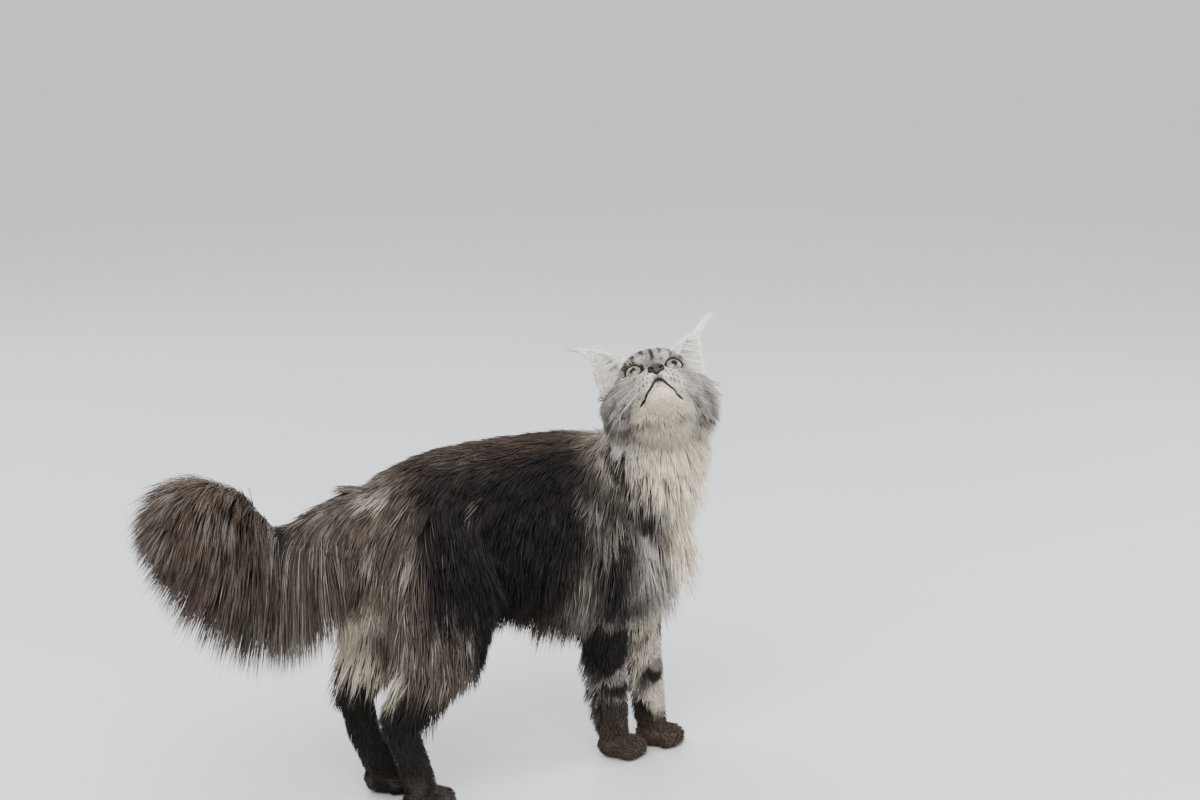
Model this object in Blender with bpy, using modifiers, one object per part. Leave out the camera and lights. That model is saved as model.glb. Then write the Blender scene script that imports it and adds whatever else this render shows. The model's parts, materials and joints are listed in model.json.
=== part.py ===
"""A maine coon cat as a still, life-size model: it stands and looks up over its right side.

Metres, +Z up. The cat is modelled with its trunk along +X, its left side towards +Y and its
soles on z = 0, then moved as a whole so that the origin is under the middle of its box.
"""

import math
import random

import bmesh
import bpy
import numpy as np
from mathutils import Matrix, Vector
from mathutils.bvhtree import BVHTree

# The gap between neighbouring nodes.
GAP = 0.0003
UP = Vector((0, 0, 1))
DOWN = Vector((0, 0, -1))
AHEAD = Vector((1, 0, 0))

# The middle of the whole box seen from above, in the standing cat's own coordinates.
FOOTPRINT_CENTRE = Vector((-0.1214, -0.0297, 0))

# Trunk, from rump to breast: centre, half width, height above the centre and depth below it.
TRUNK = (
    ((-0.214, -0.004, 0.292), 0.020, 0.018, 0.026),
    ((-0.196, 0.000, 0.288), 0.038, 0.032, 0.044),
    ((-0.165, 0.002, 0.282), 0.055, 0.055, 0.060),
    ((-0.120, 0.002, 0.280), 0.060, 0.070, 0.068),
    ((-0.070, 0.004, 0.282), 0.058, 0.075, 0.070),
    ((-0.010, 0.010, 0.278), 0.063, 0.079, 0.078),
    ((0.045, 0.014, 0.272), 0.066, 0.083, 0.084),
    ((0.090, 0.010, 0.264), 0.063, 0.082, 0.082),
    ((0.122, -0.002, 0.254), 0.054, 0.072, 0.066),
    ((0.148, -0.018, 0.246), 0.036, 0.052, 0.042),
    ((0.162, -0.028, 0.244), 0.016, 0.024, 0.020),
)

# Neck, from between the shoulders to under the skull.
NECK = (
    ((0.070, 0.014, 0.262), 0.050, 0.050, 0.050),
    ((0.098, 0.000, 0.296), 0.052, 0.050, 0.054),
    ((0.114, -0.020, 0.330), 0.048, 0.046, 0.052),
    ((0.122, -0.034, 0.364), 0.044, 0.044, 0.048),
    ((0.123, -0.038, 0.384), 0.034, 0.034, 0.038),
)

NECK_BASE = Vector((0.060, 0.0, 0.345))
NECK_WAY = Vector((0.45, -0.25, 0.857))

# The head's own frame: its origin is midway between the eyes, X is out of the face, Y is to the
# cat's left and Z out of its crown. The face turns right round to its flank, and up.
EYES_MIDPOINT = Vector((0.0987, -0.0628, 0.4194))
FACE_AHEAD = Vector((-0.381, -0.535, 0.754))
FACE_LEFT = Vector((0.900, -0.400, 0.171))

EYE_RADIUS = 0.0115
EYE_PLACE = Vector((-0.0060, 0.0178, 0.0))
EYE_TURN = math.radians(16)
EYE_SLANT = math.radians(9)
EYE_OPENING = (0.0182, 0.0125)
LID = 0.0016

# The eggs that melt into the head, in its frame: skull, brow, cheek, side of the face, muzzle pad,
# under the nose, nose, chin and jaw. Those off the middle stand on both sides.
HEAD_EGGS = (
    ((-0.042, 0, 0.000), (0.046, 0.042, 0.041)),
    ((-0.020, 0, 0.009), (0.027, 0.033, 0.025)),
    ((-0.038, 0.029, -0.014), (0.032, 0.028, 0.025)),
    ((-0.010, 0.024, -0.018), (0.022, 0.018, 0.017)),
    ((0.0165, 0.0100, -0.0310), (0.0160, 0.0120, 0.0110)),
    ((0.004, 0, -0.026), (0.025, 0.021, 0.019)),
    ((0.0285, 0, -0.0225), (0.0070, 0.0086, 0.0066)),
    ((0.0110, 0, -0.0440), (0.0165, 0.0145, 0.0110)),
    ((-0.018, 0, -0.036), (0.036, 0.030, 0.019)),
)

# The bridge of the nose: forward, half width and height of each section, and its reach.
BRIDGE = ((-0.016, 0.014, 0.012), (0.004, 0.0105, -0.001), (0.019, 0.0080, -0.0135))
BRIDGE_SINK = 0.006
BRIDGE_REACH = (0.0065, 0.010)

# The mouth from its left corner to under the nose, and the left nostril.
MOUTH = (
    (0.002, 0.0235, -0.0450),
    (0.012, 0.0190, -0.0430),
    (0.0215, 0.0120, -0.0410),
    (0.0275, 0.0055, -0.0385),
    (0.0300, 0.0, -0.0350),
)
MOUTH_RADIUS = 0.0011
NOSTRIL = ((0.0345, 0.0042, -0.0232), (0.0030, 0.0016, 0.0013))

# Each ear of the left side, in the head's frame: where its edges leave the skull, and its tip.
EAR_INNER_BASE = Vector((-0.034, 0.015, 0.032))
EAR_OUTER_BASE = Vector((-0.048, 0.047, 0.010))
EAR_TIP = Vector((-0.046, 0.0545, 0.0775))
EAR_BULGE = 0.0075
EAR_CUP = 0.018
EAR_WALL = 0.0026
EAR_BACK = Vector((-1, 0.25, 0.10)).normalized()
EAR_TO_CROWN = Vector((0.1, -0.8, 0.6)).normalized()
EAR_GRID = 6

# Legs, from the top down: centre, half width across, reach to the front and to the back.
RIGHT_FORELEG = (
    ((0.074, -0.032, 0.262), 0.026, 0.036, 0.040),
    ((0.078, -0.032, 0.220), 0.028, 0.036, 0.040),
    ((0.071, -0.024, 0.178), 0.025, 0.030, 0.034),
    ((0.072, -0.018, 0.148), 0.021, 0.023, 0.027),
    ((0.078, -0.010, 0.100), 0.0180, 0.0185, 0.0215),
    ((0.085, -0.004, 0.055), 0.0160, 0.0165, 0.0185),
    ((0.088, -0.001, 0.030), 0.0160, 0.0165, 0.0170),
)
LEFT_FORELEG = (
    ((0.112, 0.044, 0.262), 0.026, 0.034, 0.040),
    ((0.128, 0.042, 0.220), 0.028, 0.036, 0.040),
    ((0.136, 0.034, 0.178), 0.025, 0.030, 0.032),
    ((0.136, 0.027, 0.148), 0.021, 0.023, 0.025),
    ((0.136, 0.018, 0.100), 0.0180, 0.0185, 0.0200),
    ((0.138, 0.011, 0.055), 0.0160, 0.0165, 0.0170),
    ((0.139, 0.009, 0.030), 0.0160, 0.0165, 0.0165),
)
RIGHT_HINDLEG = (
    ((-0.136, -0.034, 0.306), 0.024, 0.040, 0.030),
    ((-0.130, -0.044, 0.262), 0.032, 0.056, 0.046),
    ((-0.118, -0.048, 0.216), 0.031, 0.056, 0.054),
    ((-0.116, -0.050, 0.176), 0.027, 0.044, 0.050),
    ((-0.136, -0.049, 0.140), 0.021, 0.028, 0.032),
    ((-0.158, -0.045, 0.113), 0.0165, 0.020, 0.022),
    ((-0.166, -0.043, 0.096), 0.0150, 0.0175, 0.019),
    ((-0.156, -0.040, 0.062), 0.0145, 0.0160, 0.0160),
    ((-0.144, -0.035, 0.030), 0.0150, 0.0160, 0.0160),
)
LEFT_HINDLEG = (
    ((-0.142, 0.036, 0.306), 0.024, 0.040, 0.030),
    ((-0.140, 0.046, 0.262), 0.032, 0.056, 0.046),
    ((-0.134, 0.048, 0.216), 0.031, 0.056, 0.054),
    ((-0.138, 0.048, 0.176), 0.027, 0.044, 0.050),
    ((-0.158, 0.043, 0.144), 0.021, 0.028, 0.032),
    ((-0.179, 0.036, 0.120), 0.0165, 0.020, 0.022),
    ((-0.187, 0.033, 0.103), 0.0150, 0.0175, 0.019),
    ((-0.175, 0.030, 0.064), 0.0145, 0.0160, 0.0160),
    ((-0.160, 0.028, 0.030), 0.0150, 0.0160, 0.0160),
)

# How far round a leg it is parted from the body, and the planes of elbow, hock and tail root.
SLEEVE = 0.007
ELBOW = ((0.10, 0.0, 0.150), (0.1, 0, -1))
STIFLE = ((-0.136, 0.0, 0.156), (-0.5, 0, -1))
TAIL_ROOT = -0.206
TAIL_MIDDLE_WAY = (-1, -0.5, 0.1)
TAIL_END_WAY = (-1, -0.64, 0.75)
BLOCK_SIZE = 0.8

# For body, head and paw: the grain they are melted at, how often they are softened, and about how
# many triangles they keep.
BODY_SKIN = (0.0045, 8, 2000)
HEAD_SKIN = (0.0018, 9, 1150)
PAW_SKIN = (0.0020, 4, 220)

PAW_HEADING = math.radians(-28)
HIND_PAW_HEADING = math.radians(-20)
WRIST_HEIGHT = 0.034

# The eggs that melt into a paw, ahead of and beside the ankle: pad, inner toe and outer toe.
PAW_EGGS = (
    ((0.004, 0, 0.013), (0.0210, 0.0176, 0.0165)),
    ((0.024, 0.0062, 0.0105), (0.0110, 0.0078, 0.0115)),
    ((0.016, 0.0152, 0.0095), (0.0105, 0.0070, 0.0100)),
)
STUMP = (0.012, (0.014, 0.015, 0.015))

# The tail's bone line and the radius of the dense coat round it, from root to tip.
TAIL = (
    ((-0.190, 0.000, 0.303), 0.024),
    ((-0.222, -0.010, 0.294), 0.028),
    ((-0.252, -0.022, 0.284), 0.031),
    ((-0.282, -0.038, 0.284), 0.033),
    ((-0.310, -0.055, 0.300), 0.034),
    ((-0.338, -0.073, 0.324), 0.034),
    ((-0.366, -0.091, 0.344), 0.032),
    ((-0.388, -0.104, 0.348), 0.029),
    ((-0.406, -0.114, 0.338), 0.024),
    ((-0.416, -0.120, 0.322), 0.014),
)

# Plain colours of the solids.
COAT_DARK = (0.030, 0.024, 0.022)
COAT_SILVER = (0.42, 0.40, 0.37)
COAT_CREAM = (0.62, 0.56, 0.47)
COAT_TAUPE = (0.13, 0.105, 0.09)
IRIS_GOLD = (0.45, 0.47, 0.22)


# The long coat, in bands of overlapping locks. Each band: the node its locks grow from, a line
# inside that node, the direction counted as zero round the line, the first and last angle and how
# many, how many along the line, the first and last length, a lock's width and thickness, the way
# it lies, how steeply it rises from the skin, and how far gravity bends it.
BREAST = Vector((0.79, -0.61, 0))
COAT = (
    (
        "tail_base", TAIL[1][0], TAIL[3][0], UP, (95, 265, 5), 4,
        (0.078, 0.116), (0.028, 0.007), (-0.35, -0.1, -0.9), 38, 1.2,
    ),
    (
        "tail_middle", TAIL[3][0], TAIL[5][0], UP, (75, 285, 5), 3,
        (0.110, 0.104), (0.030, 0.007), (-0.35, -0.1, -0.9), 30, 1.3,
    ),
    (
        "tail_end", TAIL[5][0], TAIL[8][0], UP, (50, 310, 6), 4,
        (0.112, 0.078), (0.030, 0.007), (-0.1, 0, -1), 12, 1.8,
    ),
    (
        "torso", (-0.095, 0.0, 0.270), (0.075, 0.012, 0.262), UP, (140, 220, 3), 8,
        (0.064, 0.058), (0.028, 0.007), (-0.6, 0, -0.8), 60, 0.4,
    ),
    (
        "torso", (-0.090, 0.0, 0.280), (0.050, 0.012, 0.276), UP, (85, 112, 2), 4,
        (0.062, 0.062), (0.032, 0.006), (-0.7, 0, -0.7), 15, 0.3,
    ),
    (
        "torso", (-0.090, 0.0, 0.280), (0.050, 0.012, 0.276), UP, (248, 275, 2), 4,
        (0.062, 0.062), (0.032, 0.006), (-0.7, 0, -0.7), 15, 0.3,
    ),
    (
        "torso", (-0.172, 0.000, 0.290), (-0.172, 0.000, 0.256), -AHEAD, (-55, 55, 3), 2,
        (0.050, 0.046), (0.026, 0.006), (-0.2, 0, -1), 26, 0.5,
    ),
    (
        "torso", (0.125, -0.010, 0.285), (0.118, 0.000, 0.215), BREAST, (-70, 70, 4), 4,
        (0.060, 0.052), (0.030, 0.007), (0, 0, -1), 34, 0.6,
    ),
    (
        "neck", (0.118, -0.030, 0.362), (0.112, -0.018, 0.330), BREAST, (-125, 125, 7), 2,
        (0.052, 0.060), (0.032, 0.007), (0, 0, -1), 28, 0.4,
    ),
    (
        "hindleg_right_upper", (-0.140, -0.046, 0.250), (-0.132, -0.048, 0.182), -AHEAD, (-65, 65, 3), 3,
        (0.050, 0.062), (0.028, 0.007), (-0.2, 0, -1), 26, 0.5,
    ),
    (
        "hindleg_left_upper", (-0.150, 0.046, 0.250), (-0.150, 0.048, 0.182), -AHEAD, (-65, 65, 3), 3,
        (0.050, 0.062), (0.028, 0.007), (-0.2, 0, -1), 26, 0.5,
    ),
    (
        "hindleg_right_upper", (-0.116, -0.048, 0.188), (-0.116, -0.048, 0.180), AHEAD, (-120, -15, 4), 1,
        (0.076, 0.076), (0.026, 0.007), (-0.45, 0, -0.9), 22, 0.5,
    ),
    (
        "hindleg_left_upper", (-0.140, 0.048, 0.188), (-0.140, 0.048, 0.180), AHEAD, (15, 120, 4), 1,
        (0.076, 0.076), (0.026, 0.007), (-0.45, 0, -0.9), 22, 0.5,
    ),
    (
        "hindleg_right_lower", (-0.150, -0.046, 0.128), (-0.162, -0.043, 0.110), -AHEAD, (-45, 45, 2), 2,
        (0.030, 0.022), (0.017, 0.005), (-0.3, 0, -1), 25, 0.5,
    ),
    (
        "hindleg_left_lower", (-0.172, 0.042, 0.128), (-0.184, 0.034, 0.112), -AHEAD, (-45, 45, 2), 2,
        (0.030, 0.022), (0.017, 0.005), (-0.3, 0, -1), 25, 0.5,
    ),
    (
        "foreleg_right_upper", (0.078, -0.032, 0.215), (0.071, -0.023, 0.172), -BREAST, (-50, 50, 3), 2,
        (0.046, 0.046), (0.024, 0.006), (-0.2, 0, -1), 24, 0.4,
    ),
    (
        "foreleg_left_upper", (0.128, 0.042, 0.215), (0.136, 0.033, 0.172), -BREAST, (-50, 50, 3), 2,
        (0.046, 0.046), (0.024, 0.006), (-0.2, 0, -1), 24, 0.4,
    ),
    (
        "foreleg_right_lower", (0.074, -0.016, 0.135), (0.083, -0.006, 0.068), -BREAST, (-30, 30, 2), 2,
        (0.034, 0.024), (0.016, 0.005), (-0.2, 0, -1), 22, 0.4,
    ),
    (
        "foreleg_left_lower", (0.136, 0.024, 0.135), (0.137, 0.013, 0.068), -BREAST, (-30, 30, 2), 2,
        (0.034, 0.024), (0.016, 0.005), (-0.2, 0, -1), 22, 0.4,
    ),
)

# Shorter locks set in the head's frame on the cheeks, at the ear tips, and between the toes:
# lengths from the first to the last, and a lock's width and thickness.
CHEEK_LINE = (Vector((-0.030, 0, -0.012)), Vector((-0.056, 0, -0.010)))
CHEEK_LOCKS = ((0.030, 0.034), (0.018, 0.005))
EAR_TUFT = ((0.026, 0.026), (0.008, 0.0034))
EAR_TUFT_SWAYS = (-0.25, 0.1)
TOE_LOCKS = ((0.011, 0.011), (0.008, 0.003))
TOE_HEIGHT = 0.012

# How deep a lock is sunk, from what length it bends in four spans, how far lengths and lies stray,
# and how high its tip stays off the floor. A lock that meets a neighbour is tried again steeper and
# shorter: each try adds degrees and scales the length.
ROOT_DEPTH = 0.006
LONG_LOCK = 0.075
SPREAD = 0.30
SEED = 7
FLOOR_CLEARANCE = 0.004
TRIES = ((0, 1), (12, 0.95), (24, 0.9), (0, 0.75), (18, 0.7), (30, 0.6), (8, 0.5))

# A lock's spans as shares of its length, and its widths and thicknesses as shares of the full ones.
LONG_SHAPE = ((0.10, 0.30, 0.35, 0.25), (0.70, 0.95, 0.85, 0.50), (1, 1, 0.85, 0.55))
SHORT_SHAPE = ((0.25, 0.40, 0.35), (0.80, 1.0, 0.65), (1, 1, 0.65))

# Node, colour and roughness.
NODES = (
    ("torso", COAT_DARK, 0.85),
    ("neck", COAT_CREAM, 0.85),
    ("head", COAT_SILVER, 0.85),
    ("eye_left", IRIS_GOLD, 0.10),
    ("eye_right", IRIS_GOLD, 0.10),
    ("ear_left", COAT_SILVER, 0.85),
    ("ear_right", COAT_SILVER, 0.85),
    ("foreleg_left_upper", COAT_DARK, 0.85),
    ("foreleg_left_lower", COAT_TAUPE, 0.85),
    ("foreleg_left_paw", COAT_DARK, 0.85),
    ("foreleg_right_upper", COAT_DARK, 0.85),
    ("foreleg_right_lower", COAT_TAUPE, 0.85),
    ("foreleg_right_paw", COAT_DARK, 0.85),
    ("hindleg_left_upper", COAT_TAUPE, 0.85),
    ("hindleg_left_lower", COAT_DARK, 0.85),
    ("hindleg_left_paw", COAT_DARK, 0.85),
    ("hindleg_right_upper", COAT_TAUPE, 0.85),
    ("hindleg_right_lower", COAT_DARK, 0.85),
    ("hindleg_right_paw", COAT_DARK, 0.85),
    ("tail_base", COAT_TAUPE, 0.85),
    ("tail_middle", COAT_TAUPE, 0.85),
    ("tail_end", COAT_TAUPE, 0.85),
)


def clear_scene():
    for obj in list(bpy.data.objects):
        bpy.data.objects.remove(obj)


def new_collection(name):
    collection = bpy.data.collections.new(name)
    bpy.context.scene.collection.children.link(collection)
    return collection


def material(name, colour, roughness):
    made = bpy.data.materials.new(name)
    made.use_nodes = True
    shader = made.node_tree.nodes["Principled BSDF"]
    shader.inputs["Base Color"].default_value = (*colour, 1)
    shader.inputs["Roughness"].default_value = roughness
    made.diffuse_color = (*colour, 1)
    return made


def mesh_of(bm, name):
    """Turns a bmesh into mesh data, in triangles."""
    bmesh.ops.triangulate(bm, faces=bm.faces[:])
    mesh = bpy.data.meshes.new(name)
    bm.to_mesh(mesh)
    bm.free()
    return mesh


def in_scene(name, mesh, collection):
    obj = bpy.data.objects.new(name, mesh)
    collection.objects.link(obj)
    return obj


def evaluated_mesh(obj):
    graph = bpy.context.evaluated_depsgraph_get()
    return bpy.data.meshes.new_from_object(obj.evaluated_get(graph))


def discard(obj):
    bpy.data.objects.remove(obj)


def add_loft(bm, sections, front=UP, sides=16):
    """Adds a closed form through egg-shaped sections, each (centre, half width, front, back)."""
    centres = [Vector(section[0]) for section in sections]
    rings = []
    for i, (_, wide, fore, aft) in enumerate(sections):
        ahead = centres[min(i + 1, len(centres) - 1)] - centres[max(i - 1, 0)]
        side = front.cross(ahead).normalized()
        face = ahead.cross(side).normalized()
        ring = []
        for k in range(sides):
            turn = math.tau * k / sides
            reach = fore if math.sin(turn) > 0 else aft
            offset = side * (wide * math.cos(turn)) + face * (reach * math.sin(turn))
            ring.append(bm.verts.new(centres[i] + offset))
        rings.append(ring)
    for near, far in zip(rings, rings[1:]):
        for k in range(sides):
            after = (k + 1) % sides
            bm.faces.new((near[k], near[after], far[after], far[k]))
    bm.faces.new(rings[0][::-1])
    bm.faces.new(rings[-1])


def add_egg(bm, place, centre, radii, segments=16):
    """Adds an ellipsoid at a centre given in the frame that place holds."""
    matrix = place @ Matrix.Translation(centre) @ Matrix.Diagonal((*radii, 1))
    rings = segments * 5 // 8
    bmesh.ops.create_uvsphere(bm, u_segments=segments, v_segments=rings, radius=1, matrix=matrix)


def add_eggs(bm, place, eggs):
    """Adds eggs, those off the middle plane on both sides of it."""
    for (x, y, z), radii in eggs:
        for side in (1, -1) if y else (1,):
            add_egg(bm, place, (x, side * y, z), radii)


def fused(name, bm, voxel, softening, triangles, workshop):
    """Melts overlapping closed forms into one skin of about this many triangles."""
    obj = in_scene(name, mesh_of(bm, name), workshop)
    melt = obj.modifiers.new("melt", "REMESH")
    melt.mode = "VOXEL"
    melt.voxel_size = voxel
    soften = obj.modifiers.new("soften", "SMOOTH")
    soften.factor = 0.5
    soften.iterations = softening
    fine = evaluated_mesh(obj)
    thin = obj.modifiers.new("thin", "DECIMATE")
    thin.ratio = triangles / (2 * len(fine.polygons))
    thin.use_collapse_triangulate = True
    mesh = evaluated_mesh(obj)
    discard(obj)
    bpy.data.meshes.remove(fine)
    return mesh


def largest_surface(mesh):
    """Keeps only the largest closed surface: no sealed hollow and no loose scrap is left."""
    bm = bmesh.new()
    bm.from_mesh(mesh)
    left = set(bm.faces)
    best, best_area = set(), 0
    while left:
        start = left.pop()
        island, edge = {start}, [start]
        while edge:
            face = edge.pop()
            for e in face.edges:
                for other in e.link_faces:
                    if other in left:
                        left.remove(other)
                        island.add(other)
                        edge.append(other)
        area = sum(face.calc_area() for face in island)
        if area > best_area:
            best, best_area = island, area
    spare = [face for face in bm.faces if face not in best]
    bmesh.ops.delete(bm, geom=spare, context="FACES")
    bm.to_mesh(mesh)
    bm.free()
    return mesh


def tree_of(meshes):
    """One search tree over all the triangles of several meshes."""
    points, faces = [], []
    for mesh in meshes:
        start = len(points)
        points += [vertex.co for vertex in mesh.vertices]
        faces += [[start + i for i in polygon.vertices] for polygon in mesh.polygons]
    return BVHTree.FromPolygons(points, faces)


def combined(mesh, operation, others, workshop):
    """One Boolean between a mesh and a collection of closed meshes, which are then removed."""
    obj = in_scene("body_piece", mesh, workshop)
    tools = bpy.data.collections.new("joined_pieces")
    workshop.children.link(tools)
    for other in others:
        in_scene("joined_piece", other, tools)
    step = obj.modifiers.new("combine", "BOOLEAN")
    step.operation = operation
    step.operand_type = "COLLECTION"
    step.collection = tools
    step.solver = "MANIFOLD"
    made = evaluated_mesh(obj)
    for other in list(tools.objects):
        discard(other)
    bpy.data.collections.remove(tools)
    discard(obj)
    return largest_surface(made)


def beyond(point, direction, spare=0.0):
    """A block that covers what lies beyond a plane, seen along the direction."""
    direction = Vector(direction).normalized()
    turn = direction.to_track_quat("Z", "Y").to_matrix().to_4x4()
    centre = Vector(point) + direction * (BLOCK_SIZE / 2 - spare)
    bm = bmesh.new()
    bmesh.ops.create_cube(bm, size=BLOCK_SIZE, matrix=Matrix.Translation(centre) @ turn)
    return mesh_of(bm, "block")


def parted(mesh, point, direction, workshop):
    """Cuts a mesh across a plane: (the part behind it, the part beyond it), a gap apart."""
    behind = combined(mesh.copy(), "DIFFERENCE", [beyond(point, direction)], workshop)
    past = combined(mesh.copy(), "INTERSECT", [beyond(point, direction, -GAP)], workshop)
    return behind, past


def taken_out(mesh, leg, workshop):
    """Parts a leg from the body inside a sleeve round it: (the body without it, the leg)."""
    inner = sleeve(leg, SLEEVE)
    outside = combined(mesh.copy(), "DIFFERENCE", [swollen(inner, GAP)], workshop)
    inside = combined(mesh.copy(), "INTERSECT", [inner], workshop)
    return outside, inside


def swollen(mesh, by):
    """A copy of a closed mesh, grown along its normals."""
    grown = mesh.copy()
    count = len(grown.vertices)
    co, normal = np.empty(count * 3), np.empty(count * 3)
    grown.vertices.foreach_get("co", co)
    grown.vertices.foreach_get("normal", normal)
    grown.vertices.foreach_set("co", co + by * normal)
    return grown


def sleeve(leg, by):
    """A leg's form, a little wider all round, to part it from the body with."""
    grown = [(centre, wide + by, fore + by, aft + by) for centre, wide, fore, aft in leg]
    first, last = Vector(grown[0][0]), Vector(grown[-1][0])
    grown.insert(0, (first + UP * by, *[size * 0.8 for size in grown[0][1:]]))
    grown.append((last + DOWN * 0.02, *grown[-1][1:]))
    bm = bmesh.new()
    add_loft(bm, grown, front=AHEAD, sides=12)
    return mesh_of(bm, "sleeve")


def head_frame():
    ahead = FACE_AHEAD.normalized()
    left = (FACE_LEFT - ahead * FACE_LEFT.dot(ahead)).normalized()
    crown = ahead.cross(left)
    turn = Matrix((ahead, left, crown)).transposed().to_4x4()
    return Matrix.Translation(EYES_MIDPOINT) @ turn


def paw_frame(ankle, heading):
    place = Matrix.Translation((ankle[0], ankle[1], 0))
    return place @ Matrix.Rotation(heading, 4, "Z")


def make_body(workshop):
    """Trunk, neck and legs as one skin."""
    bm = bmesh.new()
    add_loft(bm, TRUNK)
    add_loft(bm, NECK, front=AHEAD)
    for leg in (RIGHT_FORELEG, LEFT_FORELEG, RIGHT_HINDLEG, LEFT_HINDLEG):
        add_loft(bm, leg, front=AHEAD, sides=12)
    return fused("body", bm, *BODY_SKIN, workshop)


def make_paw(leg, heading, workshop):
    """A paw with four toes, cut flat where it stands."""
    ankle = leg[-1][0]
    place = paw_frame(ankle, heading)
    bm = bmesh.new()
    add_eggs(bm, place, PAW_EGGS)
    height, sizes = STUMP
    stump = (leg[-2], leg[-1], ((ankle[0], ankle[1], height), *sizes))
    add_loft(bm, stump, front=AHEAD, sides=12)
    paw = fused("paw", bm, *PAW_SKIN, workshop)
    paw = combined(paw, "DIFFERENCE", [beyond((0, 0, 0), DOWN)], workshop)
    return combined(paw, "DIFFERENCE", [beyond((0, 0, WRIST_HEIGHT - GAP), UP)], workshop)


def make_head(workshop):
    """Skull, cheeks, muzzle and chin as one form, with lids, mouth line and nostrils."""
    place = head_frame()
    bm = bmesh.new()
    add_eggs(bm, place, HEAD_EGGS)
    for side in (1, -1):
        add_egg(bm, place, eye_centre(side), (EYE_RADIUS + LID,) * 3)
    sections = [(place @ Vector((x, 0, z - BRIDGE_SINK)), wide, *BRIDGE_REACH) for x, wide, z in BRIDGE]
    add_loft(bm, sections, front=(place.to_3x3() @ UP).normalized(), sides=12)
    head = fused("head", bm, *HEAD_SKIN, workshop)
    mouth = list(MOUTH) + [(x, -y, z) for x, y, z in MOUTH[-2::-1]]
    cuts = [groove(place, mouth, MOUTH_RADIUS, head)]
    (x, y, z), radii = NOSTRIL
    for side in (1, -1):
        cuts.append(egg_mesh(place, (x, side * y, z), radii))
        cuts.append(eye_ball(side, EYE_RADIUS + GAP))
        cuts.append(eye_opening(side))
    return combined(head, "DIFFERENCE", cuts, workshop)


def groove(place, points, radius, surface):
    """A thin tube laid on a surface along points in the head's frame, to cut a line with."""
    probe = tree_of([surface])
    crown = (place.to_3x3() @ UP).normalized()
    sections = []
    for point in points:
        spot = probe.find_nearest(place @ Vector(point))[0]
        sections.append((spot, radius, radius * 1.6, radius * 1.6))
    bm = bmesh.new()
    add_loft(bm, sections, front=crown, sides=6)
    return mesh_of(bm, "groove")


def egg_mesh(place, centre, radii):
    bm = bmesh.new()
    add_egg(bm, place, centre, radii, segments=8)
    return mesh_of(bm, "egg")


def eye_centre(side):
    return Vector((EYE_PLACE.x, side * EYE_PLACE.y, EYE_PLACE.z))


def eye_frame(side):
    """The eye's own frame: its Z looks out of the pupil, its X lies across the opening."""
    turn = Matrix.Rotation(side * EYE_TURN, 4, "Z") @ Matrix.Rotation(side * EYE_SLANT, 4, "X")
    look = Matrix(((0, 0, 1), (1, 0, 0), (0, 1, 0))).to_4x4()
    return head_frame() @ Matrix.Translation(eye_centre(side)) @ turn @ look


def eye_ball(side, radius):
    bm = bmesh.new()
    bmesh.ops.create_uvsphere(bm, u_segments=14, v_segments=7, radius=radius, matrix=eye_frame(side))
    return mesh_of(bm, "eye")


def eye_opening(side):
    """A short oval bar that opens the lids over the eye."""
    bm = bmesh.new()
    depth = 2 * EYE_RADIUS
    wide, tall = EYE_OPENING
    shape = Matrix.Translation((0, 0, 0.6 * depth)) @ Matrix.Diagonal((wide / 2, tall / 2, depth, 1))
    bmesh.ops.create_cone(
        bm, cap_ends=True, segments=18, radius1=1, radius2=1, depth=1, matrix=eye_frame(side) @ shape
    )
    return mesh_of(bm, "opening")


def make_ear(side, head, workshop):
    """A tall cup with a pointed tip, open to the front and side, trimmed to the skull."""
    place = head_frame()
    mirror = Matrix.Diagonal((1, side, 1, 1))
    bm = bmesh.new()
    grid = []
    for i in range(EAR_GRID + 1):
        rise = i / EAR_GRID
        inner = EAR_INNER_BASE.lerp(EAR_TIP, rise)
        inner += EAR_TO_CROWN * (EAR_BULGE * math.sin(math.pi * rise**0.8))
        outer = EAR_OUTER_BASE.lerp(EAR_TIP, rise)
        outer -= EAR_TO_CROWN * (EAR_BULGE * 0.35 * math.sin(math.pi * rise))
        cup = EAR_CUP * (1 - rise) ** 0.7
        row = []
        for k in range(EAR_GRID + 1):
            way = 2 * k / EAR_GRID - 1
            bulge = math.sqrt(max(0.0, 1 - way * way * 0.92))
            row.append(bm.verts.new(inner.lerp(outer, k / EAR_GRID) + EAR_BACK * (cup * bulge)))
        grid.append(row)
    for low, high in zip(grid, grid[1:]):
        for k in range(EAR_GRID):
            bm.faces.new((low[k], low[k + 1], high[k + 1], high[k]))
    bmesh.ops.remove_doubles(bm, verts=bm.verts[:], dist=0.0001)
    bm.transform(place @ mirror)
    bmesh.ops.recalc_face_normals(bm, faces=bm.faces[:])
    obj = in_scene("ear", mesh_of(bm, "ear"), workshop)
    shell = obj.modifiers.new("shell", "SOLIDIFY")
    shell.thickness = EAR_WALL
    shell.offset = 0
    ear = evaluated_mesh(obj)
    discard(obj)
    return combined(ear, "DIFFERENCE", [swollen(head, GAP)], workshop)


def tail_core(workshop):
    """The bone line wrapped in its dense coat, in three lengths."""
    bm = bmesh.new()
    sections = [(centre, radius, radius * 0.85, radius) for centre, radius in TAIL]
    add_loft(bm, sections, sides=12)
    whole = mesh_of(bm, "tail")
    start = parted(whole, (TAIL_ROOT, 0, 0), (-1, 0, 0), workshop)[1]
    base, rest = parted(start, TAIL[3][0], TAIL_MIDDLE_WAY, workshop)
    middle, end = parted(rest, TAIL[5][0], TAIL_END_WAY, workshop)
    return {"tail_base": base, "tail_middle": middle, "tail_end": end}


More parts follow.
